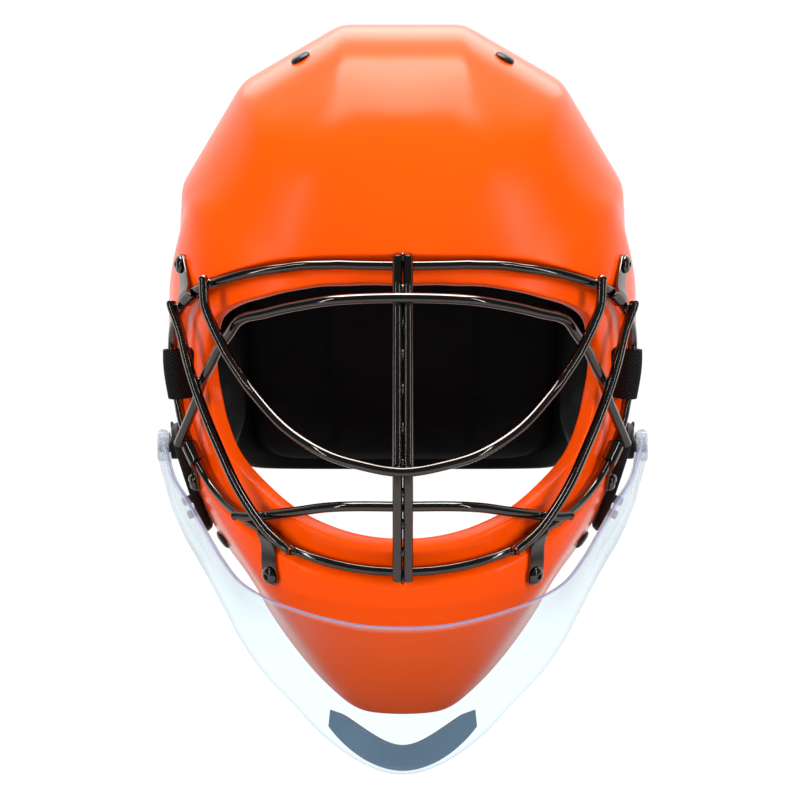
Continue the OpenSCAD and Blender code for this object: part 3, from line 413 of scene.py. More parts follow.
def placed(piece, axes, at):
    """Puts a piece made round the origin onto a frame of three axes."""
    m = Matrix([[*row, 0] for row in np.array(axes).T] + [[0, 0, 0, 1]])
    m.translation = Vector(np.asarray(at, float) * MM)
    piece.data.transform(m)
    piece.data.update()
    return piece


def on_skin(piece, a, b, up=0.0, facing=1):
    """Stands a piece on the shell, raised by up, or facing inwards."""
    axes = skin_axes(a, b)
    return placed(piece, axes * [[1], [facing], [facing]], skin(a, b) + up * axes[2])


def mirrored(piece, name):
    """A copy for the other side."""
    rest()
    twin = piece.copy()
    twin.data = piece.data.copy()
    bpy.context.collection.objects.link(twin)
    twin.name = twin.data.name = name
    twin.data.transform(Matrix.Scale(-1, 4, (1, 0, 0)))
    twin.data.flip_normals()
    return twin


def both_sides(name, pieces):
    """One piece of the right side's pieces and their mirrored copies."""
    return join(name, [*pieces, *[mirrored(p, name + "_twin") for p in pieces]])


def turned(name, outline, steps=48):
    """A solid spun about Z from an outline of radius and height, in millimetres."""
    spots = np.asarray(outline, float)
    turn = np.linspace(0, 360, steps, endpoint=False)
    p = np.stack([
        np.outer(cosd(turn), spots[:, 0]), np.outer(sind(turn), spots[:, 0]),
        np.broadcast_to(spots[:, 1], (steps, len(spots))),
    ], -1)
    return smooth(merge(shaped_grid(name, p, closed_u=True), 0.005))


def shank(radius, top, low, steps=24, tip=0.0):
    """A plain round bar, its lower end cut back by tip."""
    end = [(radius, low + tip), (radius - tip, low)] if tip else [(radius, low)]
    return turned("shank", [(MIDDLE, top), (radius, top), *end, (MIDDLE, low)], steps)


def dress(piece, finish, nodes=(), body="helmet"):
    """Gives a finished piece its material, its place in the record and its body. A pair of points
    in place of a body is not used: the piece is then only baked where it stands and joins no body."""
    piece.data.materials.clear()
    piece.data.materials.append(finish)
    if isinstance(body, str):
        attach(piece, body)
    else:
        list(body)
        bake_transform(piece)
    if nodes:
        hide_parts(*nodes)
    return piece


def dress_pair(right, finish, node, body="helmet"):
    """Dresses a mirrored piece for the left side, then the right side's own."""
    pair = (mirrored(right, right.name.replace("right", "left")), "_left"), (right, "_right")
    return [dress(piece, finish, [node + side], body) for piece, side in pair]


# Finishes

class Signal:
    """A value that varies over a surface. Sums written with it become nodes."""

    def __init__(self, finish, socket):
        self.finish, self.socket = finish, socket

    def sum(self, operation, *values):
        return self.finish.node("ShaderNodeMath", {"operation": operation}, values)

    def __add__(self, other):
        return self.sum("ADD", self, other)

    def __sub__(self, other):
        return self.sum("SUBTRACT", self, other)

    def __mul__(self, other):
        return self.sum("MULTIPLY", self, other)

    def __truediv__(self, other):
        return self.sum("DIVIDE", self, other)

    def __pow__(self, other):
        return self.sum("POWER", self, other)

    __radd__, __rmul__ = __add__, __mul__

    def wave(self):
        return self.sum("SINE", self * (2 * math.pi))

    def over(self, other):
        return self.sum("MAXIMUM", self, other)

    def step(self, lo, hi, start=0.0, end=1.0):
        """Goes smoothly from start at lo to end at hi."""
        values = {0: self, 1: lo, 2: hi, 3: start, 4: end}
        return self.finish.node("ShaderNodeMapRange", {"interpolation_type": "SMOOTHSTEP"}, values)

    def beside(self, *names):
        """Other outputs of the node that this value comes from."""
        return [Signal(self.finish, self.socket.node.outputs[name]) for name in names]


class Finish:
    """A tree of shader nodes, for a material or the world."""

    def __init__(self, owner, place="Object"):
        owner.use_nodes = True
        self.owner, self.tree = owner, owner.node_tree
        self.tree.nodes.clear()
        self.place = self.node("ShaderNodeTexCoord", output=place)

    def node(self, kind, settings=None, inputs=(), output=0):
        n = self.tree.nodes.new(kind)
        for name, value in (settings or {}).items():
            setattr(n, name, value)
        for name, value in inputs.items() if isinstance(inputs, dict) else enumerate(inputs):
            if isinstance(value, Signal):
                self.tree.links.new(value.socket, n.inputs[name])
            else:
                n.inputs[name].default_value = value
        return Signal(self, n.outputs[output]) if n.outputs else None

    def noise(self, scale, detail=2.0, at=None):
        inputs = {"Vector": at or self.place, "Scale": scale, "Detail": detail}
        return self.node("ShaderNodeTexNoise", {}, inputs)

    def stretched(self, size):
        return self.node("ShaderNodeMapping", {}, {"Vector": self.place, "Scale": size})

    def cells(self, scale):
        return self.node("ShaderNodeTexVoronoi", {}, {"Vector": self.place, "Scale": scale})

    def parted(self, vector):
        """A vector's X, with its other parts beside it."""
        return self.node("ShaderNodeSeparateXYZ", {}, [vector])

    def rays(self, *kinds):
        """For each of these kinds, 1 on rays of that kind and 0 on others."""
        path = self.node("ShaderNodeLightPath")
        return path.beside(*(f"Is {kind} Ray" for kind in kinds))

    def between(self, a, b, share):
        a, b = ((*c, 1) if isinstance(c, tuple) else c for c in (a, b))
        return self.node("ShaderNodeMix", {"data_type": "RGBA"}, {0: share, 6: a, 7: b}, 2)

    def bump(self, height, deep):
        return self.node("ShaderNodeBump", {}, {"Height": height, "Distance": deep * MM})

    def principled(self, **sockets):
        names = {k.replace("_", " ").title().replace("Ior", "IOR"): v for k, v in sockets.items()}
        return self.node("ShaderNodeBsdfPrincipled", {}, names)

    def output(self, shader, kind="ShaderNodeOutputMaterial"):
        self.node(kind, {}, {"Surface": shader})
        return self.owner

    def surface(self, **sockets):
        return self.output(self.principled(**sockets))


def material(name):
    return Finish(bpy.data.materials.new(name))


def orange_shell():
    f = material("orange_shell")
    clouds = f.noise(9, 3)
    peel = f.noise(420, 2)
    grain = f.noise(2600, 1)
    rubs = f.noise(60, 6, f.stretched((1, 1, 7))).step(0.6, 0.72)
    colour = f.between((1.0, 0.072, 0.0), (1.0, 0.088, 0.0), clouds)
    colour = f.between(colour, (1.0, 0.10, 0.0), rubs * 0.12)
    return f.surface(
        base_color=colour, roughness=0.2 + 0.04 * clouds + 0.02 * rubs, specular_ior_level=0.23,
        normal=f.bump(peel + 0.35 * grain, 0.014),
    )


def dark_nickel():
    f = material("dark_nickel")
    clouds = f.noise(55, 3)
    drawn = f.noise(900, 3)
    pits = f.cells(520).step(0.02, 0.09)
    colour = f.between((0.185, 0.162, 0.145), (0.225, 0.210, 0.200), clouds)
    colour = f.between((0.06, 0.05, 0.045), colour, pits)
    return f.surface(
        base_color=colour, metallic=1.0, roughness=0.05 + 0.04 * drawn + 0.03 * clouds,
        normal=f.bump(f.noise(160, 2) + 0.15 * drawn, 0.004),
    )


def moulded_black(name="black_plastic", rough=0.42, gloss=0.22):
    f = material(name)
    clouds = f.noise(30, 4)
    grain = f.noise(2200, 2)
    dust = f.noise(140, 5).step(0.58, 0.75)
    tint = f.between((0.006, 0.006, 0.007), (0.0172, 0.0172, 0.0194), clouds * 0.5 + dust * 0.3)
    return f.surface(
        base_color=tint, roughness=rough + 0.1 * clouds + 0.06 * dust, specular_ior_level=gloss,
        normal=f.bump(grain + 0.5 * f.noise(500, 2), 0.05),
    )


def closed_foam(name, colour):
    f = material(name)
    cell = f.cells(1300)
    fine = f.noise(3200, 2)
    clouds = f.noise(25, 4)
    tint = f.between(colour, tuple(1.9 * c + 0.003 for c in colour), clouds * 0.6 + fine * 0.3)
    tint = f.between(tuple(0.4 * c for c in colour), tint, cell.step(0.0, 0.25))
    return f.surface(
        base_color=tint, roughness=0.5 + 0.14 * clouds, specular_ior_level=0.14,
        normal=f.bump(cell + 0.4 * fine, 0.1),
    )


def webbing():
    """Twill, laid by the cloth's own places across and along, in metres."""
    f = material("webbing")
    across = f.parted(f.place.beside("UV")[0])
    turn, run = across / 0.0018, across.beside("Y")[0] / 0.0024
    threads = (turn + run).wave().over((turn - run).wave())
    fuzz = f.noise(4000, 2)
    dark = f.between((0.003, 0.003, 0.0035), (0.012, 0.012, 0.013), threads.step(-0.2, 0.95))
    tint = f.between(dark, (0.02, 0.02, 0.021), fuzz * 0.15)
    return f.surface(
        base_color=tint, roughness=0.7 + 0.12 * fuzz, specular_ior_level=0.14, sheen_weight=0.03,
        normal=f.bump(threads + 0.25 * fuzz, 0.16),
    )


def clear_sheet():
    """Clear moulded plastic: see-through face on, pale and bluish where it turns edge-on and at its arms,
    with painted dark bluish shade along its rims and ends.
    """
    f = material("clear_sheet")
    haze = f.noise(18, 4)
    marks = f.noise(90, 5, f.stretched((1, 1, 5))).step(0.62, 0.75)
    ripple = f.bump(f.noise(35, 2) + 0.12 * marks, 0.2)
    facing = f.node("ShaderNodeLayerWeight", {}, {"Blend": 0.5, "Normal": ripple}, "Facing")
    # The rim value carries painted shade: it makes the sheet more opaque and dark bluish along its edges
    # and ends.
    arm, rim = (f.node("ShaderNodeAttribute", {"attribute_name": n}, {}, "Fac") for n in ("arm", "rim"))
    share = 0.004 + 0.006 * haze + 0.012 * marks + 0.7 * facing**3.6 + 0.35 * arm + 0.75 * rim
    clear = f.node("ShaderNodeBsdfTransparent", {}, {"Color": (0.922, 0.980, 0.996, 1)})
    tint = f.between((0.66, 0.71, 0.80), (0.80, 0.84, 0.90), haze)
    # Painted shade: the sheet turns dark bluish where the rim value is high.
    tint = f.between(tint, (0.26, 0.28, 0.46), rim)
    body = f.principled(base_color=tint, roughness=0.06 + 0.04 * haze, normal=ripple)
    return f.output(f.node("ShaderNodeMixShader", {}, [share, clear, body]))


# Shell

MM_PER_DEGREE = 2.5
COLUMNS = 480
SLOT_CORNER, EAR_CORNER = 2, 15.9


def rounded_section(corners):
    """A closed section with rounded corners. A corner has its place back and its depth, each an
    array over the columns, its radius, the samples on the way to the next and what they follow."""
    spots = [np.stack([b * MM_PER_DEGREE, o], -1) for b, o, *_ in corners]
    n = len(corners)
    ends, rows = [], []
    for k in range(n):
        here, before, after = spots[k], spots[k - 1], spots[(k + 1) % n]
        to_last, to_next = before - here, after - here
        l0 = np.linalg.norm(to_last, axis=-1, keepdims=True)
        l1 = np.linalg.norm(to_next, axis=-1, keepdims=True)
        cut = np.minimum(corners[k][2], 0.45 * np.minimum(l0, l1))
        ends.append((here + to_last / l0 * cut, here, here + to_next / l1 * cut))
    for k in range(n):
        q0, q1, q2 = ends[k]
        for t in np.linspace(0, 1, 6):
            rows.append((1 - t) ** 2 * q0 + 2 * t * (1 - t) * q1 + t**2 * q2)
        samples, follow = corners[k][3:]
        for t in np.linspace(0, 1, samples + 2)[1:-1]:
            q = mix(q2, ends[(k + 1) % n][0], t)
            if follow:
                q = np.stack([q[:, 0], follow(q[:, 0] / MM_PER_DEGREE)], -1)
            rows.append(q)
    section = np.stack(rows, 1)
    return section[..., 0] / MM_PER_DEGREE, section[..., 1]


def shell_wall(a):
    first, lip, rim = open_back(a), lip_back(a), rim_back(a)
    gap = lip - first
    drop = mix(4.5, 1.5, ease(60, 100, fold(a)))
    level = np.zeros_like(a)
    return rounded_section([
        (lip, level, 1.6, 78, None),
        (rim, level, 1.9, 0, None),
        (rim, level - SHELL_WALL, 1.9, 40, lambda b: inside_off(b, lip)),
        (first - 0.3, inside_off(first, lip), 1.8, 1, None),
        (first + 0.3, -drop, 1.8, 5, None),
        (lip - gap * 0.45, -mix(drop, CHANNEL_DEPTH, 0.75), 5, 4, None),
        (lip - 0.6, level - CHANNEL_DEPTH, 1.8, 1, None),
    ])


def cutter(size, at, radius, turn=0):
    """A box with its long edges rounded, to cut with. The first number of size is its length."""
    rest()
    bpy.ops.mesh.primitive_cube_add(size=1)
    block = bpy.context.object
    block.data.transform(Matrix.Diagonal([s * MM for s in size] + [1]))
    bpy.ops.object.mode_set(mode="EDIT")
    bpy.ops.mesh.select_mode(type="EDGE")
    bpy.ops.mesh.select_all(action="DESELECT")
    rest()
    for e in block.data.edges:
        p, q = (block.data.vertices[v].co for v in e.vertices)
        e.select = abs((p - q).normalized().x) > 0.9
    bpy.ops.object.mode_set(mode="EDIT")
    bpy.ops.mesh.bevel(offset=radius * MM, segments=8, affect="EDGES")
    rest()
    turning = Matrix.Rotation(math.radians(turn), 4, "Z")
    block.data.transform(Matrix.Translation(Vector(at) * MM) @ turning)
    return block


def cut(piece, blocks):
    tool = join("cutting_tool", blocks)
    pick(piece)
    m = piece.modifiers.new("Cut", "BOOLEAN")
    m.operation, m.solver, m.object = "DIFFERENCE", "EXACT", tool
    bpy.ops.object.modifier_apply(modifier=m.name)
    bpy.data.objects.remove(tool)
    return piece


def make_shell(finish):
    a = np.linspace(0, 360, COLUMNS, endpoint=False)
    back, off = shell_wall(a)
    piece = shaped_grid("shell_skin", skin(a[:, None], back, off), closed_u=True, closed_v=True)
    blocks = []
    for s in (1, -1):
        slot = (SLOT_LONG, SLOT_WIDE, SLOT_TALL)
        blocks.append(cutter(slot, (s * SLOT_X, SLOT_Y, SLOT_Z), SLOT_CORNER, 90))
        blocks.append(cutter(EAR_OPENING, (s * EAR_AT[0], *EAR_AT[1:]), EAR_CORNER))
    dress(smooth(cut(piece, blocks), 38), finish, ["shell"])


# Padding

FOAM_GAP = 1.1
SWELL, PINNED_FROM = 1.6, 0.25
PAD_FULL = 0.93
GROOVE_DEEP = 3.0
SHELL_PADS = [
    ("brow_foam", "brow_pad", (-65, 65), (34.4, 69.6), BROW_FOAM, 0.45, (70, 18, 7),
     [-0.62, -0.21, 0.21, 0.62]),
    ("crown_foam", "crown_pad", (-53, 53), (80.5, 119.5), CROWN_FOAM, STRAP_THICK + 1.5, (60, 22, 7),
     [-0.5, 0, 0.5]),
    ("temple_foam_right", "temple_pad_right", (69.3, 86.8), (68.5, 111.5), SIDE_FOAM + 2, 0.55,
     (14, 24, 6), []),
    ("jaw_foam_right", "jaw_pad_right", (130.4, 147.6), (50.4, 62.1), SIDE_FOAM, -0.25,
     (14, 12, 6), []),
]


def slab(name, counts, place):
    """A block laid by place(u, v, w), each from -1 to 1, with the corners of its plan rounded."""
    faces = []
    for axis in range(3):
        i, j = [k for k in range(3) if k != axis]
        for s in (1, -1):
            p, q = np.meshgrid(*(np.linspace(-1, 1, counts[k]) for k in (i, j)), indexing="ij")
            at = np.zeros((*p.shape, 3))
            at[..., axis], at[..., i], at[..., j] = s, p, q
            u, v, w = at[..., 0], at[..., 1], at[..., 2]
            pull = corner_pull(u, v, 8)
            faces.append(shaped_grid(name, place(u * pull, v * pull, w)))
    return merge(join(name, faces), 0.05)


def plump(pieces, cap):
    """Swells each pad a little from inside, as foam does under its cover, by cloth simulation."""
    start = {}
    for o, pinned in pieces:
        group = o.vertex_groups.new(name="held")
        group.add([int(i) for i in pinned], 1.0, "REPLACE")
        m = o.modifiers.new("Swell", "CLOTH")
        m.settings.use_pressure = True
        m.settings.uniform_pressure_force = 4
        m.settings.effector_weights.gravity = 0
        m.settings.vertex_group_mass = "held"
        m.settings.tension_stiffness = 30
        m.settings.compression_stiffness = 30
        start[o.name] = np.array([v.co for v in o.data.vertices])
    for step in range(1, 21):
        bpy.context.scene.frame_set(step)
    seen = bpy.context.evaluated_depsgraph_get()
    moved = {o.name: np.array([v.co for v in o.evaluated_get(seen).data.vertices]) for o, _ in pieces}
    for o, _ in pieces:
        o.modifiers.clear()
        shift = moved[o.name] - start[o.name]
        far = np.linalg.norm(shift, axis=1, keepdims=True)
        shift *= np.minimum(1, cap * MM / np.maximum(far, 1e-9))
        o.data.vertices.foreach_set("co", (start[o.name] + shift).ravel())
        o.data.update()
    bpy.context.scene.frame_set(1)


def cushion(u, v):
    """How thick a pad is over its plan, less at its edges."""
    return 0.34 + 0.66 * np.sqrt(np.clip((1 - np.abs(u) ** 6) * (1 - np.abs(v) ** 6), 0, 1))


def sewn(stops, wide, u, v):
    """How deep the sewn channels across a pad are."""
    return GROOVE_DEEP * ridges(stops, wide, u) * (1 - ease(0.72, 0.9, np.abs(v)))


def under_shell(around, back, thick, low, stops):
    """Lays a pad under the shell between two angles around and two back."""
    def place(u, v, w):
        a, b = mix(*around, (u + 1) / 2), mix(*back, (v + 1) / 2)
        face = inner_face(a, b) - FOAM_GAP - low
        t = thick * PAD_FULL * cushion(u, v) - sewn(stops, 0.024, u, v)
        return skin(a, b, face - t * (1 - w) / 2)
    return place


PANEL = np.array([
    (87.5, 0, 0.5, 68), (88.6, 0, 0.85, 67), (90.6, 0, 1, 66), (91.4, 1, 1, 66), (96, 1, 1, 66),
    (102, 1, 1, 66), (108, 1, 1, 67), (114, 1, 1, 70), (120, 1, 1, 72), (125.2, 1, 1, 73),
    (126.3, 0, 0.9, 73), (128.8, 0, 0.5, 75),
])
PANEL_OUT_X, PANEL_IN_X, PANEL_END = 97.2, 86, 118


def ear_panel(u, v, w):
    """The panel beside the ear, which stands off the shell over the slide and the nuts."""
    a = mix(PANEL[0, 0] + 0.15, PANEL[-1, 0] - 0.15, (u + 1) / 2)
    away, share, first = (np.interp(a, PANEL[:, 0], PANEL[:, k]) for k in (1, 2, 3))
    b = mix(first + 0.3, PANEL_END - 0.3, (v + 1) / 2)
    flat = sind(a) * sind(b)
    near = skin_radius(a, b) + inner_face(a, b) - FOAM_GAP + 0.1
    far = np.minimum(near, (PANEL_OUT_X - 0.2 - 4 * ease(98, 118, b)) / flat)
    outer = mix(near, far, away)
    inner = (PANEL_IN_X + 0.6 - 3 * ease(100, 129, a)) / flat
    crown = share * (0.5 + 0.5 * np.sqrt(np.clip(1 - np.abs(v) ** 6, 0, 1)))
    r = outer + (inner - outer) * crown * (1 - w) / 2
    return CENTRE + r[..., None] * direction(a, b)


def behind_head(u, v, w):
    """The pad on the inner face of the back plate."""
    height = mix(plate_low(BACK_PAD_U * u, 7), 67, (v + 1) / 2)
    t = cushion(u, v) * BACK_FOAM * PAD_FULL - sewn([-0.45, 0.0, 0.45], 0.03, u, v)
    return plate_at(u * BACK_PAD_U, height, -BACK_WALL - 1 - t * (1 - w) / 2)


def make_pads(foam):
    made = [(slab(name, counts, under_shell(around, back, thick, low, stops)), node)
            for name, node, around, back, thick, low, counts, stops in SHELL_PADS]
    made.append((slab("ear_foam_right", (26, 30, 6), ear_panel), "ear_pad_right"))
    made.append((slab("back_foam", (44, 40, 7), behind_head), "back_pad"))
    middle = Vector((0, 0, SHELL_CENTRE_Z * MM))
    held = []
    for piece, _ in made:
        outward = [v.normal.dot((v.co - middle).normalized()) for v in piece.data.vertices]
        held.append((piece, np.nonzero(np.array(outward) > PINNED_FROM)[0]))
    plump(held, SWELL)
    for piece, node in made:
        finish_with(piece, ("SUBSURF", {"levels": 1, "render_levels": 1}))
        smooth(piece, 60)
        if node.endswith("_right"):
            pads = dress_pair(piece, foam, node[: -len("_right")])
        else:
            pads = [dress(piece, foam, [node], "back" if node == "back_pad" else "helmet")]


# Cage

WELD_LEAD = 2.4
BEAD_REACH, BEADS_APART = 1.0, 14


def both(half):
    """A route for both sides, from one that ends in the middle."""
    return [*half, *[np.asarray(p, float) * [-1, 1, 1] for p in half[-2::-1]]]


def weld(a, d):
    """Where a bar that runs along d is welded to the ring wire."""
    n = unit(np.cross(ring_at(a + 1) - ring_at(a - 1), d))
    return ring_at(a) + (WIRE - 0.05) * (n if n[1] < 0 else -n)


def head(a, d):
    return [weld(a, d) - WELD_LEAD * unit(d), weld(a, d)]


def tail(a, d):
    return [weld(a, d), weld(a, d) + WELD_LEAD * unit(d)]


CENTRE_X = WIRE_RADIUS + 0.05
BROW_BAR = both(head(115.5, [-4, -7, 12]) + [
    [107, -69.5, -12.8], [102, -76, -1], [98.7, -81.5, 9], [96.5, -85, 14], [92.2, -91.5, 22.6],
    [88.6, -97, 30], [83.2, -104.5, 38], [78.7, -110.5, 44.9], [74, -114.6, 48],
    [66, -120.8, 50.5], [51.6, -130.5, 55.2], [30, -141.5, 60], [0, -146, 61.6],
])
U_BAR = both(head(71, [-3, -7, -11]) + [
    [94.3, -104, 52.2], [91.1, -108.2, 44.4], [87.4, -112, 37.4], [82.9, -116, 29.7],
    [76.8, -120.8, 21.4], [70.6, -126, 13.9], [55.4, -141, 0.2],
    [37, 8 - U_BAR_REACH, -9.3], [20, 2 - U_BAR_REACH, -14], [0, -U_BAR_REACH, -16.9],
])
SIDE_BAR = head(81, [-2, -5, -10]) + [
    [108.6, -77.5, 36.4], [103.9, -84, 19.2], [97.4, -90.5, 1.1], [89.5, -100, -16],
    [79.2, -113, -34.8], [66.5, -125.5, -51],
] + tail(150, [-13, -11, -13])
JAW_BAR = both(head(137, [-12, -10, 3.7]) + [
    [71.5, -114, -48.4], [52, -131, -42.7], [37, -141.5, -38.4], [22, -148, -36.3], [0, -151, -35.8],
])
CENTRE_BAR = [np.array([CENTRE_X, p[1], p[2]]) for p in head(3, [0, -10, -18]) + [
    [0, -141.3, 60], [0, -152, 24], [0, WIRE - 0.05 - U_BAR_REACH, -16.9],
    [0, -155.8, -35.8], [0, -152.5, -54],
] + tail(178.5, [0, 3, -14])]


def wire(name, route, closed=False):
    """A round bar along a route, its cut ends eased."""
    curve = bpy.data.curves.new(name, "CURVE")
    curve.dimensions, curve.bevel_depth, curve.bevel_resolution = "3D", WIRE_RADIUS * MM, 5
    curve.use_fill_caps = not closed
    line = curve.splines.new("POLY")
    line.points.add(len(route) - 1)
    for point, p in zip(line.points, route):
        point.co = (*(np.asarray(p) * MM), 1)
    line.use_cyclic_u = closed
    piece = bpy.data.objects.new(name, curve)
    bpy.context.collection.objects.link(piece)
    pick(piece)
    bpy.ops.object.convert(target="MESH")
    piece = bpy.context.object
    if not closed:
        for f in piece.data.polygons:
            f.select = len(f.vertices) > 6
        bpy.ops.object.mode_set(mode="EDIT")
        bpy.ops.mesh.select_mode(type="FACE")
        bpy.ops.mesh.region_to_loop()
        bpy.ops.mesh.bevel(offset=0.9 * MM, segments=4, affect="EDGES")
        rest()
    merge(piece, 0.01)
    return smooth(piece, 50)


def bead_places(routes):
    """Where two bars touch: the middle, the way across and the way along."""
    bars = list(routes.values())
    for i, p in enumerate(bars):
        for q in bars[i + 1 :]:
            gap = np.linalg.norm(p[:, None] - q[None], axis=-1)
            while gap.min() < WIRE + BEAD_REACH:
                m, n = np.unravel_index(gap.argmin(), gap.shape)
                along = unit(p[min(m + 1, len(p) - 1)] - p[max(m - 1, 0)])
                yield (p[m] + q[n]) / 2, unit(p[m] - q[n]), along
                gap[np.linalg.norm(p - p[m], axis=1) < BEADS_APART] = 99


def make_cage(finish):
    """The wires, with a small run of weld metal wherever two of them touch."""
    around = np.linspace(0, 360, 360, endpoint=False)
    routes = {
        "cage_ring": ring_at(around), "brow_bar": spline(BROW_BAR, 10), "u_bar": spline(U_BAR, 10),
        "side_bar_right": spline(SIDE_BAR, 10), "jaw_bar": spline(JAW_BAR, 10),
        "centre_bar_right": spline(CENTRE_BAR, 10),
    }
    for side in ("side_bar", "centre_bar"):
        routes[side + "_left"] = routes[side + "_right"] * [-1, 1, 1]
    for node, route in routes.items():
        dress(wire(node + "_wire", route, node == "cage_ring"), finish, [node])
    beads = []
    for k, (middle, across, along) in enumerate(bead_places(routes)):
        rest()
        bpy.ops.mesh.primitive_uv_sphere_add(segments=20, ring_count=12, radius=1)
        bead = bpy.context.object
        side = unit(np.cross(across, along))
        wobble = 1 + 0.08 * math.sin(5 * k)
        bead.data.transform(Matrix.Diagonal([2.5 * wobble * MM, 2.3 * MM, 1.25 * MM, 1]))
        beads.append(placed(bead, [np.cross(side, across), side, across], middle))
    dress(smooth(join("cage_welds", beads), 60), finish)


# Clips, screws and rivets

CLIP_AT = [(70.5, 57.5), (125.5, 66), (149.4, 45.5)]
HOOK_AT = [76.5, 119.3, 144]
CROWN_RIVET, JAW_RIVET = (20.3, 75), (139, 68)
MOUNT_SCREW_AT = [(116.5, 84.5), (131.5, 81.5)]
CLIP_GAP = 0.45
HOOK_TURN = 112
HEAD_TALL, HEAD_SUNK, SOCKET_RADIUS, SOCKET_DEEP = 2.4, 1.6, 1.45, 3
NUT_TALL = 3
SHANK, RIVET_SHANK, SHANK_TIP = 2, 2.5, 0.3
CLIP_SHANK_TOP, MOUNT_SHANK_TOP = 2.2, 4
DOME = [
    (MIDDLE, HEAD_TALL), (1.2, HEAD_TALL - 0.03), (2.4, HEAD_TALL - 0.22), (3.4, HEAD_TALL - 0.65),
    (4.05, 1.1), (4.4, 0.62), (4.5, 0.25), (4.38, 0.04), (4.2, 0), (MIDDLE, 0),
]
NUT = [(MIDDLE, 0), (3.7, 0), (4, 0.4), (4, 2.6), (3.7, NUT_TALL), (MIDDLE, NUT_TALL)]
RIVET_CAP = [
    (MIDDLE, 2.0), (1.6, 1.96), (3.0, 1.8), (4.0, 1.5), (4.75, 1.02), (5.12, 0.55),
    (5.25, 0.2), (5.1, 0.03), (4.9, 0), (MIDDLE, 0),
]
RIVET_BACK = [
    (MIDDLE, 0), (4.9, 0), (5.2, 0.15), (5.25, 0.5), (5.1, 0.95), (4.6, 1.2), (2.2, 1.2),
    (1.8, 0.9), (MIDDLE, 0.9),
]


def make_clip(name, spot, hook_at):
    """A strip with a round end under the screw, bent over the ring wire."""
    z, p = skin_normal(*spot), skin(*spot)
    d = ring_at(hook_at) - p
    y = unit(d - (d @ z) * z)
    axes = np.array([np.cross(y, z), y, z])
    local = (ring_at(hook_at + np.linspace(-12, 12, 97)) - p) @ axes.T
    order = np.argsort(local[:, 0])
    across = np.linspace(-CLIP_WIDTH / 2, CLIP_WIDTH / 2, 13)
    mid = np.stack([np.interp(across, local[order, 0], local[order, i]) for i in (1, 2)], -1)
    lean = abs(unit(local[order[-1]] - local[order[0]])[0])
    r = (WIRE_RADIUS + CLIP_GAP) / lean + CLIP_METAL / 2
    base = SEAT + CLIP_METAL / 2
    turn = np.arange(HOOK_TURN, -51, -8)
    start, turned_to = np.array([3, base]), np.array([sind(HOOK_TURN), -cosd(HOOK_TURN)])
    flat = np.array([(y, base) for y in (-4.99, -4.9, -4.7, -4.3, -3.7, -3, -2, -1, 0, 1, 2, 3)])
    rows = []
    for x, q in zip(across, mid):
        hook = np.stack([q[0] + r * cosd(turn), q[1] + r * sind(turn)], -1)
        far = np.linalg.norm(hook[0] - start)
        t = np.linspace(0, 1, 13)[1:-1, None]
        ramp = hermite(t, start, np.array([far, 0]), hook[0], far * turned_to)
        line = np.concatenate([flat, ramp, hook])
        rows.append(np.stack([np.full(len(line), x), line[:, 0], line[:, 1]], -1))
    strip = np.array(rows)
    tip, end = strip[:, :, 1], CLIP_WIDTH / 2
    past = np.clip(-tip / end, 0, 0.999)
    narrow = np.where(tip < 0, np.sqrt(1 - past**2) * 0.98 + 0.02, 1)
    strip[:, :, 0] *= narrow * (1 - 0.22 * ease(0.9, 1.0, np.linspace(0, 1, strip.shape[1])))
    strip[:, :, 1] = np.where(tip < 0, np.maximum(tip, -end), tip)
    piece = shaped_grid(name, p + strip @ axes)
    finish_with(piece, wall(CLIP_METAL), bevel(0.35, 3, 50))
    return smooth(piece, 45)


def screw_head(spot, under):
    """A domed head with a hexagon socket."""
    piece = turned("screw_head", DOME)
    bpy.ops.mesh.primitive_cylinder_add(vertices=6, radius=SOCKET_RADIUS * MM, depth=SOCKET_DEEP * MM)
    socket = bpy.context.object
    socket.data.transform(Matrix.Translation((0, 0, (HEAD_TALL + 0.2) * MM)))
    cut(piece, [socket])
    finish_with(piece, bevel(0.12, 2, 40))
    return smooth(on_skin(piece, *spot, under), 40)


def rivet(spot):
    """A cap outside and a washer behind the strap, on one shank."""
    low = float(inner_face(*spot)) - 0.8 - STRAP_THICK - 2 * SEAT
    cap = on_skin(turned("rivet", RIVET_CAP), *spot, SEAT)
    under = on_skin(turned("rivet_back", RIVET_BACK), *spot, low, -1)
    bar = on_skin(shank(RIVET_SHANK, SEAT + 0.2, low - 0.3, 48), *spot)
    return smooth(join("rivet", [cap, under, bar]), 40)


def nut_low(spot):
    """How far off the skin the lower face of a nut inside the shell lies."""
    return float(inner_face(*spot)) - SEAT - NUT_TALL


def make_fasteners(nickel, black):
    heads, mounts = [], []
    for spot, hook_at, kind in zip(CLIP_AT, HOOK_AT, ("upper", "side", "lower")):
        clip = make_clip(kind + "_clip_strip_right", spot, hook_at)
        dress_pair(clip, nickel, kind + "_clip")
        heads.append(screw_head(spot, 2 * SEAT + CLIP_METAL))
        heads.append(on_skin(shank(SHANK, CLIP_SHANK_TOP, nut_low(spot), tip=SHANK_TIP), *spot))
    dress(both_sides("clip_screw_set", heads), nickel, ["clip_screws"])

    for spot in MOUNT_SCREW_AT:
        mounts.append(screw_head(spot, MOUNT_SEAT + SEAT + MOUNT_THICK - HEAD_SUNK))
        mounts.append(on_skin(shank(SHANK, MOUNT_SHANK_TOP, nut_low(spot)), *spot))
        mounts.append(on_skin(turned("mount_nut", NUT, 6), *spot, nut_low(spot)))
    dress(both_sides("mount_screw_set", mounts), nickel, ["mount_screws"])

    for node, spot in (("crown_rivets", CROWN_RIVET), ("jaw_rivets", JAW_RIVET)):
        dress(both_sides(node + "_caps", [rivet(spot)]), black, [node])


# Back plate, by a share across (-1 to 1) and a height

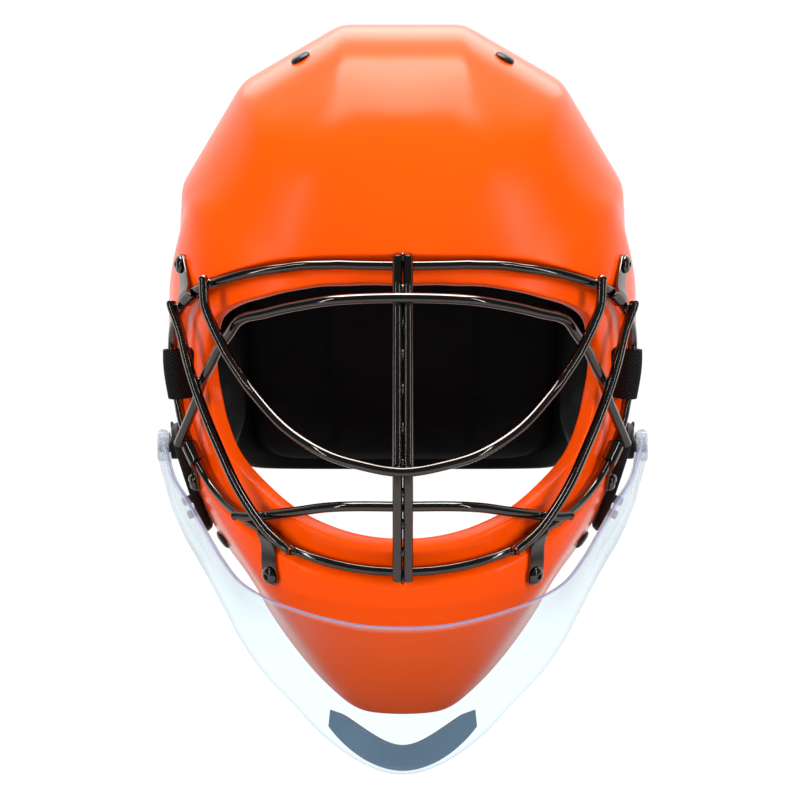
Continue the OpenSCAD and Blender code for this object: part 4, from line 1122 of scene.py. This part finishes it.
PLATE_TOP, PLATE_Y, PLATE_FRONT_Y = 94, 124, 40
PLATE_U, BACK_PAD_U = 0.8, 0.695
PLATE_RIVET_AT = [(0.27, 84), (0.68, SLOT_Z)]
RIB_HIGH, RIBS_AT, RIB_WIDE = 0.9, (-0.4, 0.0, 0.4), 0.045


def plate_at(u, z, off=0.0):
    u, z = np.asarray(u, float), np.asarray(z, float)
    half, deep = BACK_HALF_WIDTH + off, PLATE_Y - PLATE_FRONT_Y + off
    w = 0.99 - 0.07 * ease(10, PLATE_TOP, z) - 0.04 * ease(-20, BACK_LOW, -z) * np.abs(u)
    y = PLATE_FRONT_Y + deep * np.clip(cosd(90 * u), 0, 1) ** 0.85 - 10 * ((z - 10) / 90) ** 2
    return np.stack(np.broadcast_arrays(half * sind(90 * u) * w, y, z), -1)


def plate_low(u, up=0.0):
    """The height of its lower edge, which rises at the sides."""
    return -BACK_LOW + up + 11 * (np.asarray(u, float) / PLATE_U) ** 2


def plate_normal(u, z):
    across = plate_at(u - 0.01, z) - plate_at(u, z)
    return unit(np.cross(across, plate_at(u, z + 1) - plate_at(u, z)))


def make_back(plastic, black):
    """A moulded plate with pressed ribs, its outline rounded at the corners."""
    u, v = np.meshgrid(np.linspace(-1, 1, 121), np.linspace(-1, 1, 91), indexing="ij")
    pull = corner_pull(u, v, 12)
    uu, vv = u * pull, v * pull
    z = mix(plate_low(uu * PLATE_U, 0.2), PLATE_TOP - 0.2, (vv + 1) / 2)
    inside = (1 - ease(0.5, 0.75, np.abs(uu))) * (1 - ease(0.55, 0.8, np.abs(vv)))
    ribs = RIB_HIGH * inside * ridges(RIBS_AT, RIB_WIDE, vv)
    piece = shaped_grid("back_plate_shell", plate_at(uu * PLATE_U, z, -BACK_WALL / 2 - ribs))
    finish_with(piece, wall(BACK_WALL - 0.05), bevel(1.0, 4, 50))
    dress(smooth(piece, 50), plastic, ["back_plate"], "back")
    caps = []
    for spot in PLATE_RIVET_AT:
        n = plate_normal(*spot)
        x = unit(np.cross([0, 0, 1], n))
        axes = np.array([x, np.cross(n, x), n])
        at, top = plate_at(*spot), STRAP_THICK + 2 * SEAT
        caps.append(placed(turned("plate_cap", RIVET_CAP), axes, at + top * n))
        caps.append(placed(shank(RIVET_SHANK, top + 0.2, -BACK_WALL - 0.2, 48), axes, at))
    dress(both_sides("plate_rivet_caps", caps), black, ["plate_rivets"], "back")


# Straps, by stops of place and facing

STRAP_LOW = 0.8
SLIDE_X, SLIDE_Y, SLIDE_BAR, SLIDE_LONG = 102.5, -17, 1.4, 15
WRAP = 0.95 + STRAP_THICK / 2
ELASTIC_WIDTH, CROWN_WIDTH, CHIN_WIDTH = STRAP_WIDTH - 4, 18, 16
CUP_Y, CUP_Z, CUP_A, CUP_B, CUP_TALL, CUP_THICK = -74, -98, 34, 21, 13, 3.5
# From the helmet's end to the back plate's, in metres
CROWN_BEND = ((0, 0.11, 0.122), (0, 0.11, 0.104))
ELASTIC_BEND = ((0, 0.05, 0.02), (0, 0.082, 0.02))


def inside_stop(a, b, low=0.0):
    n = skin_normal(a, b)
    return skin(a, b) + (float(inner_face(a, b)) - STRAP_LOW - STRAP_THICK / 2 - low) * n, n


def plate_stop(u, z):
    n = plate_normal(u, z)
    return plate_at(u, z) + (SEAT + STRAP_THICK / 2) * n, n


def flat_stop(x, y, nx, ny):
    return [x, y, SLOT_Z], [nx, ny, 0.0]


def band(name, stops, wide):
    """Flat webbing along its stops, with its weave laid along it."""
    path, ways = (spline([s[k] for s in stops], 8) for k in (0, 1))
    side = unit(np.cross(unit(np.gradient(path, axis=0)), unit(ways)))
    t = np.linspace(-0.5, 0.5, 9)
    points = path[:, None] + side[:, None] * (t * wide)[None, :, None]
    spread = np.stack(np.broadcast_arrays((t + 0.5)[None] * wide, lengths(path)[:, None]), -1)
    piece = shaped_grid(name, points, spread=spread)
    finish_with(piece, wall(STRAP_THICK - 0.1), bevel(0.45, 3, 50))
    return smooth(piece, 50)


def side_loop(z):
    """The loop that the side webbing makes at one height: round the ring wire and the slide."""
    p = ring_at(np.linspace(80, 120, 400))
    i = np.argsort(p[:, 2])
    x, y = (np.interp(z, p[i, 2], p[i, k]) for k in range(2))
    r, q = WIRE_RADIUS + WRAP, SLIDE_BAR + WRAP
    return np.array(
        [(x + r * cosd(t), y + r * sind(t)) for t in range(125, -151, -25)]
        + [(SLOT_X - 1.3, y + 5), (SLIDE_X - q, SLIDE_Y - 3)]
        + [(SLIDE_X + q * cosd(t), SLIDE_Y + q * sind(t)) for t in range(180, -1, -45)]
        + [(SLIDE_X + q + 0.2, SLIDE_Y - 5), (SLOT_X + 0.6, y + 13), (SLOT_X + 2.3, y + 6.3)]
    )


def make_side_webbing():
    heights = SLOT_Z + STRAP_WIDTH * np.linspace(-0.5, 0.5, 11)
    loops = np.array([spline(side_loop(z), 6, closed=True) for z in heights])
    points = np.concatenate([loops, np.broadcast_to(heights[:, None, None], (*loops.shape[:2], 1))], -1)
    points = points.transpose(1, 0, 2)
    run = lengths(np.concatenate([points[:, 5], points[:1, 5]]))
    spread = np.stack(np.broadcast_arrays((heights - heights[0])[None], run[:, None]), -1)
    loop = shaped_grid("side_webbing_right", points, closed_u=True, spread=spread)
    finish_with(loop, wall(STRAP_THICK - 0.1), bevel(0.4, 3, 50))
    return smooth(loop, 50)


def elastic_stops():
    """From the slide's far bar, round it and along inside the shell to the back plate."""
    q, far_y = SLIDE_BAR + WRAP, SLIDE_Y + SLIDE_LONG - 2 * SLIDE_BAR
    round_bar = [flat_stop(SLIDE_X + q * cosd(t), far_y + q * sind(t), cosd(t), sind(t))
                 for t in range(180, 361, 30)]
    return [
        flat_stop(SLIDE_X - q, far_y + 12, -1, 0), *round_bar,
        flat_stop(SLIDE_X + q - 0.3, far_y + 12, 1, 0), flat_stop(102, 32, 1, 0.1),
        flat_stop(97.5, 52, 1, 0.25), *[plate_stop(u, SLOT_Z) for u in (0.8, 0.74, 0.68, 0.61)],
    ]


def crown_stops():
    """From the crown rivet, back under the shell and down behind the back plate's rivet."""
    a, (u, z) = CROWN_RIVET[0], PLATE_RIVET_AT[0]
    return [
        *[inside_stop(a, b) for b in (71.5, 75, 85, 95, 105)],
        inside_stop(a, 114, 0.4), inside_stop(a, 122, 1.4),
        ([38, 98.5, 128], [0.1, 0.75, 0.65]), ([35.5, 110, 111], [0.1, 1, 0.2]),
        *[plate_stop(u, z + up) for up in (7, 0, -8)],
    ]


def chin_stops():
    """From the jaw rivet, under the jaw pad and under the chin cup."""
    b, bottom = JAW_RIVET[1], CUP_Z - 1.75
    return [
        inside_stop(135.5, b - 0.3), inside_stop(*JAW_RIVET, -0.25),
        inside_stop(142.5, b + 0.3, 1), inside_stop(146, b + 0.5, 6),
        ([61, -62, -94], [0.45, -0.1, -0.9]), ([48, -68, -101.5], [0.25, -0.05, -0.95]),
        ([CUP_A - 2, CUP_Y, bottom - CUP_TALL * 0.16 - 3], [0.3, 0, -0.9]),
        ([CUP_A * 0.75, CUP_Y, bottom - CUP_TALL * 0.5 - 2.2], [0.35, 0, -0.9]),
        ([CUP_A * 0.45, CUP_Y, bottom - CUP_TALL * 0.85 - 2], [0.2, 0, -0.95]),
    ]


def make_straps(cloth):
    straps = [
        (make_side_webbing(), "side_strap", "helmet"),
        (band("elastic_band_right", elastic_stops(), ELASTIC_WIDTH), "side_elastic", ELASTIC_BEND),
        (band("crown_webbing_right", crown_stops(), CROWN_WIDTH), "crown_strap", CROWN_BEND),
        (band("chin_webbing_right", chin_stops(), CHIN_WIDTH), "chin_strap", "helmet"),
    ]
    for piece, node, body in straps:
        dress_pair(piece, cloth, node, body)


def make_cup(plastic):
    f = np.concatenate([[0.002, 0.08], np.linspace(0.16, 1, 18)])
    plan = squared_circle(96, 0.85)[:, None]
    x = CUP_A * plan[..., 0] * f * 0.985
    y = CUP_Y + CUP_B * plan[..., 1] * f * 0.985
    z = np.broadcast_to(CUP_Z - CUP_TALL * (1 - f**2.4), x.shape)
    piece = shaped_grid("chin_cup_shell", np.stack([x, y, z], -1), closed_u=True)
    merge(piece, 0.3)
    finish_with(piece, wall(CUP_THICK - 0.1), bevel(0.9, 4, 50))
    dress(smooth(piece, 50), plastic, ["chin_cup"])


# Throat guard and its mounts

MOUNT_MID, MOUNT_HALF = (125, 79.3), (11.5, 8.2)
MOUNT_TOP = MOUNT_SEAT + MOUNT_THICK
POST_AT, POST_TALL = [(129.4, 73.6), (132.2, 73.4)], MOUNT_THICK + 3.5
BOSS_END, HUB_END, BOSS_DEEP = 118.3, 124.6, 4.8
PIVOT_AXES = np.array([[0, 1, 0], [0, 0, 1], [1, 0, 0]], float)
PIN_LONG = HUB_END - 0.4 - BOSS_END + BOSS_DEEP
MOUNT_FACE = [
    (0.002, MOUNT_TOP - 0.8), (0.3, MOUNT_TOP - 0.8), (0.62, MOUNT_TOP - 0.8),
    (0.68, MOUNT_TOP - 0.75), (0.72, MOUNT_TOP - 0.1), (0.76, MOUNT_TOP), (0.9, MOUNT_TOP),
    (0.95, MOUNT_TOP - 0.12), (0.985, MOUNT_TOP - 0.6), (1.0, MOUNT_TOP - 1.3),
    (1.0, MOUNT_SEAT + 0.8), (0.985, MOUNT_SEAT + 0.3), (0.95, MOUNT_SEAT), (0.6, MOUNT_SEAT),
    (0.3, MOUNT_SEAT), (0.002, MOUNT_SEAT),
]
BOSS = [
    (MIDDLE, 0), (2.9, 0), (3.05, -0.15), (3.05, -0.5), (5.9, -0.5), (6.35, -0.75), (6.5, -1.2),
    (6.5, -4.6), (7.2, -6.0), (MIDDLE, -6.2),
]
POST = [
    (MIDDLE, POST_TALL), (1.5, POST_TALL), (2.0, POST_TALL - 0.25), (2.2, POST_TALL - 0.7),
    (2.2, 1), (2.6, 0), (MIDDLE, 0),
]
COLLAR = [(5.0, 0), (6.2, 0), (6.4, 0.4), (6.2, 0.95), (5.6, 1.1), (5.05, 0.95), (4.9, 0.5), (5.0, 0)]
PIN = [(MIDDLE, 0), (3, 0), (3, PIN_LONG - 0.5), (2.85, PIN_LONG - 0.15), (2.5, PIN_LONG),
       (MIDDLE, PIN_LONG)]
HUB = [
    (3.1, -6.0), (6.9, -6.0), (7.4, -5.6), (7.5, -5.0), (7.5, -0.5), (7.2, -0.05), (6.8, 0),
    (5.4, 0), (5.2, -0.5), (4.2, -0.5), (4.0, 0), (3.4, 0), (3.1, -0.3), (3.1, -6.0),
]
# The sheet's upper and lower edge, from the pivot to the middle
GUARD_EDGES = [
    ((125.6, -2, -31.5), (125.8, -2, -39)), ((125.2, -8, -26.8), (124.2, -8, -46)),
    ((123.5, -18, -24.5), (120.6, -20, -53)), ((121.6, -32, -27.5), (116.4, -35, -61)),
    ((115.8, -50, -42), (109, -50, -73)), ((107, -65, -52), (101.6, -62, -82)),
    ((95.5, -86, -65), (93.4, -77, -92)), ((88.7, -100, -72.1), (86, -92, -101)),
    ((78.4, -120, -79.2), (77.8, -108, -111.5)), ((65, -138, -82.6), (66, -123, -124)),
    ((51.1, -150, -84.9), (52.1, -135, -135.5)), ((36.1, -160, -86.7), (36.8, -145, -148.8)),
    ((18.8, -166, -88.6), (18, -150.5, -160.5)), ((0, -168, -89.1), (0, -152, -165)),
]
GUARD_STEPS = 8
GUARD_TOP, GUARD_LOW = (spline(both([e[k] for e in GUARD_EDGES]), GUARD_STEPS) for k in (0, 1))
GUARD_COUNT = len(GUARD_TOP)
GUARD_BULGE = 4
STEP = np.arange(GUARD_COUNT) * 2 / GUARD_STEPS
FROM_END = np.minimum(STEP, STEP[-1] - STEP)
ARM = [(0, 3.6), (2, 3.4), (4, 1.8), (6, 0), (8, 0.8), (10, 1.2), (12, 0)]
ARM_RIBS_AT, TEETH_APART = (0.12, 0.86), 1.5
# How far the painted edge shade reaches in from the sheet's edges, and how strong it is on the back face
EDGE_SHADE_FADE, EDGE_SHADE_ON_BACK = 0.022, 0.35
TRIM_THICK, TRIM_FULL, TRIM_STOPS = 5, 0.97, 4


def at_pivot(piece, x):
    return placed(piece, PIVOT_AXES, (x, -PIVOT_Y, -PIVOT_Z))


def guard_at(v, off=0.0):
    """The clear sheet at a share v of the way down, for every step along it."""
    v = np.broadcast_to(v, GUARD_COUNT)
    bare = mix(GUARD_TOP, GUARD_LOW, v[..., None])
    run = np.gradient(mix(GUARD_TOP, GUARD_LOW, 0.5), axis=0)
    face = unit(np.cross(GUARD_LOW - GUARD_TOP, run))
    return bare + (off + GUARD_BULGE * ease(5, 22, FROM_END) * sind(180 * v))[..., None] * face


def make_mounts(plastic, black):
    f, off = np.array(MOUNT_FACE).T
    plan = squared_circle(120, 0.6)[:, None]
    a, b = (MOUNT_MID[k] + MOUNT_HALF[k] * f * plan[..., k] for k in (0, 1))
    plate = smooth(merge(shaped_grid("mount_block_right", skin(a, b, off[None]), closed_u=True), 0.05), 45)
    parts = [plate, at_pivot(turned("mount_boss", BOSS), BOSS_END)]
    parts += [on_skin(turned("mount_post", POST, 32), *spot, MOUNT_SEAT + 1) for spot in POST_AT]
    parts += [on_skin(turned("mount_collar", COLLAR), *spot, MOUNT_TOP - 0.75) for spot in MOUNT_SCREW_AT]
    dress_pair(join("mount_block_right", parts), plastic, "mount_plate")
    pin = at_pivot(turned("pivot_pin", PIN), BOSS_END - BOSS_DEEP)
    dress(both_sides("pivot_pin_set", [pin]), black, ["pivot_pins"])


def mark(piece, name, values, near=None):
    """Writes a value at each point, taken from the nearest place given, for a material to read."""
    values, points = np.asarray(values, float).ravel(), piece.data.vertices
    if near is not None:
        tree = KDTree(len(values))
        for k, place in enumerate(near.reshape(-1, 3) * MM):
            tree.insert(place, k)
        tree.balance()
        values = values[[tree.find(v.co)[1] for v in points]]
    layer = piece.data.attributes.new(name, "FLOAT", "POINT")
    values = np.broadcast_to(values, len(points))
    layer.data.foreach_set("value", np.ascontiguousarray(values, np.float32))


def make_guard(clear):
    """The clear sheet, its arms thicker and ribbed where they were moulded."""
    arm = smooth_table(ARM, FROM_END)
    sunk = np.clip(arm / 1.4, 0, 1)
    v = np.concatenate([[0, 0.015, 0.04], np.linspace(0.08, 0.92, 34), [0.96, 0.985, 1]])
    edge = np.minimum(1, np.minimum(v, 1 - v) / 0.04)
    half = GUARD_SHEET / 2 * (0.35 + 0.65 * np.sqrt(1 - (1 - edge) ** 2))
    rows = []
    teeth = np.clip(np.sin(2 * np.pi * FROM_END / TEETH_APART), 0, 1)
    for x, h, e in zip(v, half, edge):
        frame_rib = 0.7 * ridges(ARM_RIBS_AT, 0.05, x)
        tooth = 0.6 * np.exp(-(((x - 0.5) / 0.26) ** 4)) * teeth
        rows.append(guard_at(x, h + e * (arm - sunk * (0.9 - frame_rib - tooth))))
    rows += [guard_at(x, -h) for x, h in zip(v[::-1], half[::-1])]
    places = np.array(rows).transpose(1, 0, 2)
    sheet = shaped_grid("guard_sheet", places, closed_v=True)
    down = np.concatenate([v, v[::-1]])
    # Painted shade: the rim value darkens the sheet's edges and ends in its material, less on its back
    # face.
    painted_edge_shade = np.repeat([1 - ease(0, EDGE_SHADE_FADE, np.minimum(down, 1 - down))], GUARD_COUNT, axis=0)
    painted_edge_shade[:, down > 0.5] *= EDGE_SHADE_ON_BACK
    mark(sheet, "rim", np.maximum(painted_edge_shade, (1 - ease(0, 0.25, FROM_END))[:, None]), places)
    mark(sheet, "arm", np.repeat(np.clip(arm / 3, 0, 1)[:, None], len(down), axis=1), places)
    close_ends(sheet)
    smooth(sheet, 40)
    hub = at_pivot(turned("guard_hub", HUB), HUB_END)
    mark(hub, "arm", [0.9])
    whole = join("guard_sheet", [sheet, hub, mirrored(hub, "guard_hub_left")])
    dress(whole, clear, ["throat_guard"], "guard")


def make_trim(grey):
    """The foam along the guard's lower edge, thick in the middle and thin at its ends."""
    middle, half = (GUARD_COUNT - 1) // 2, TRIM_STOPS * GUARD_STEPS // 2
    at = np.arange(middle - half, middle + half + 1)
    u = np.abs((at - middle) / half)
    low = 0.995 - 0.06 * u**4
    high = 0.838 - 0.06 * ease(0, 0.8, u) + 0.025 * ease(0.8, 1, u)
    thick = TRIM_THICK * (0.35 + 0.65 * np.sqrt(np.clip(1 - u**4, 0, 1)))
    rows = []
    for v, raised in [(x, 0) for x in np.linspace(0, 1, 12)] + [(x, 1) for x in np.linspace(1, 0, 18)]:
        share = np.full(GUARD_COUNT, 1.0)
        share[at] = mix(high, low, v)
        off = np.full(GUARD_COUNT, GUARD_SHEET / 2 + SEAT)
        if raised:
            off[at] += thick * (0.4 + 0.6 * sind(180 * v)) * TRIM_FULL
        rows.append(guard_at(share, off)[at])
    trim = shaped_grid("guard_trim", np.array(rows).transpose(1, 0, 2), closed_v=True)
    close_ends(trim)
    finish_with(trim, bevel(0.8, 3, 50))
    dress(smooth(trim, 50), grey, ["guard_pad"], "guard")


# Stage

VIEW_FROM, VIEW_UP, VIEW_AT = 1400, 10, (-1.3, 0, -12)
VIEW_LENS, VIEW_SENSOR = 121.34, 36
WHITE = (1, 1, 1, 1)
SKY_ON_MATT = 0.42
# Name, place, width and height, watts, and whether gloss shows it
LAMPS = [
    ("key_left", (-1250, -900, 550), (500, 1000), 13, False),
    ("key_right", (1250, -900, 550), (500, 1000), 13, False),
    ("front_fill", (0, -1500, -250), (900, 300), 11, False),
    ("top_light", (0, 180, 1450), (1500, 1100), 36, True),
    ("rear_top", (0, 1350, 800), (1500, 600), 4, True),
    ("strip_left", (-1150, -1000, 450), (50, 1300), 1.5, True),
    ("strip_right", (1150, -1000, 450), (50, 1300), 1.5, True),
]


def make_camera():
    """The photograph's view, from the front and a little above."""
    up = math.radians(VIEW_UP)
    back = Vector((0, -math.cos(up), math.sin(up)))
    camera = bpy.data.objects.new("photo_camera", bpy.data.cameras.new("photo_camera"))
    bpy.context.collection.objects.link(camera)
    camera.location = (Vector(VIEW_AT) + back * VIEW_FROM) * MM
    camera.rotation_mode = "QUATERNION"
    camera.rotation_quaternion = (-back).to_track_quat("-Z", "Y")
    camera.data.lens, camera.data.sensor_width = VIEW_LENS, VIEW_SENSOR
    camera.data.clip_start, camera.data.clip_end = 0.01, 100
    bpy.context.scene.camera = camera


def make_world():
    """White where it is seen, softer on matt surfaces, and in gloss bright only from behind."""
    scene = bpy.context.scene
    scene.view_settings.view_transform = "Standard"
    scene.world = bpy.data.worlds.new("studio")
    f = Finish(scene.world, "Generated")
    behind = f.parted(f.place).beside("Y")[0].step(0.0, 0.75, 0.05, 0.9)
    seen, through, gloss, matt = f.rays("Camera", "Transmission", "Glossy", "Diffuse")
    level = seen.over(through).over(gloss * behind).over(matt * SKY_ON_MATT)
    sky = f.node("ShaderNodeBackground", {}, {"Color": WHITE, "Strength": level})
    f.output(sky, "ShaderNodeOutputWorld")


def make_floor():
    """Pale paper that keeps the helmet's shadow and turns to plain white further out."""
    rest()
    bpy.ops.mesh.primitive_plane_add(size=8, location=(0, 0, 0))
    floor = bpy.context.object
    floor.name = "floor"
    floor.data.transform(Matrix.Translation((0, 0, FLOOR_Z * MM)))
    f = material("floor_paper")
    away = f.node("ShaderNodeVectorMath", {"operation": "LENGTH"}, [f.place], "Value").step(0.4, 2.0)
    matt = f.node("ShaderNodeBsdfDiffuse", {}, {"Color": f.between((0.2,) * 3, (0.02,) * 3, away)})
    glow = f.node("ShaderNodeEmission", {}, {"Color": f.between((0.75,) * 3, (1.0,) * 3, away)})
    seen, through, gloss = f.rays("Camera", "Transmission", "Glossy")
    far_side = f.parted(f.place).beside("Y")[0].step(-0.1, 0.6)
    shown = seen.over(through).over(gloss * far_side)
    both_lit = f.node("ShaderNodeAddShader", {}, [matt, glow])
    floor.data.materials.append(f.output(f.node("ShaderNodeMixShader", {}, [shown, matt, both_lit])))


def make_lamps():
    for name, at, (wide, tall), watts, shows in LAMPS:
        data = bpy.data.lights.new(name, "AREA")
        data.shape, data.size, data.size_y, data.energy = "RECTANGLE", wide * MM, tall * MM, watts
        lamp = bpy.data.objects.new(name, data)
        bpy.context.collection.objects.link(lamp)
        lamp.location = Vector(at) * MM
        lamp.rotation_mode = "QUATERNION"
        lamp.rotation_quaternion = (-lamp.location).to_track_quat("-Z", "Y")
        lamp.visible_glossy = shows


def ease_node(node, finish):
    """Gives a kept CAD node its material and softens its edges."""
    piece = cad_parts[node]
    piece.data.materials.clear()
    piece.data.materials.append(finish)
    piece.modifiers.new("Close", "WELD").merge_threshold = 0.005 * MM
    edges = piece.modifiers.new("Ease", "BEVEL")
    edges.width, edges.segments, edges.angle_limit = 0.3 * MM, 3, math.radians(40)


make_camera()
nickel = dark_nickel()
plastic = moulded_black()
rivet_black = moulded_black("black_rivet", 0.22, 0.5)
clear = clear_sheet()

make_shell(orange_shell())
make_cage(nickel)
make_fasteners(nickel, rivet_black)
make_pads(closed_foam("foam", (0.004, 0.0042, 0.005)))
make_back(plastic, rivet_black)
make_straps(webbing())
make_cup(plastic)
make_mounts(plastic, rivet_black)
make_guard(clear)
# The trim's colour is dark grey foam with a painted bluish reflection of the clear sheet over it, so it is
# lighter and bluer than the foam.
make_trim(closed_foam("grey_foam", (0.105, 0.135, 0.180)))
ease_node("clip_nuts", nickel)
ease_node("slide_left", plastic)
ease_node("slide_right", plastic)

make_world()
make_floor()
make_lamps()
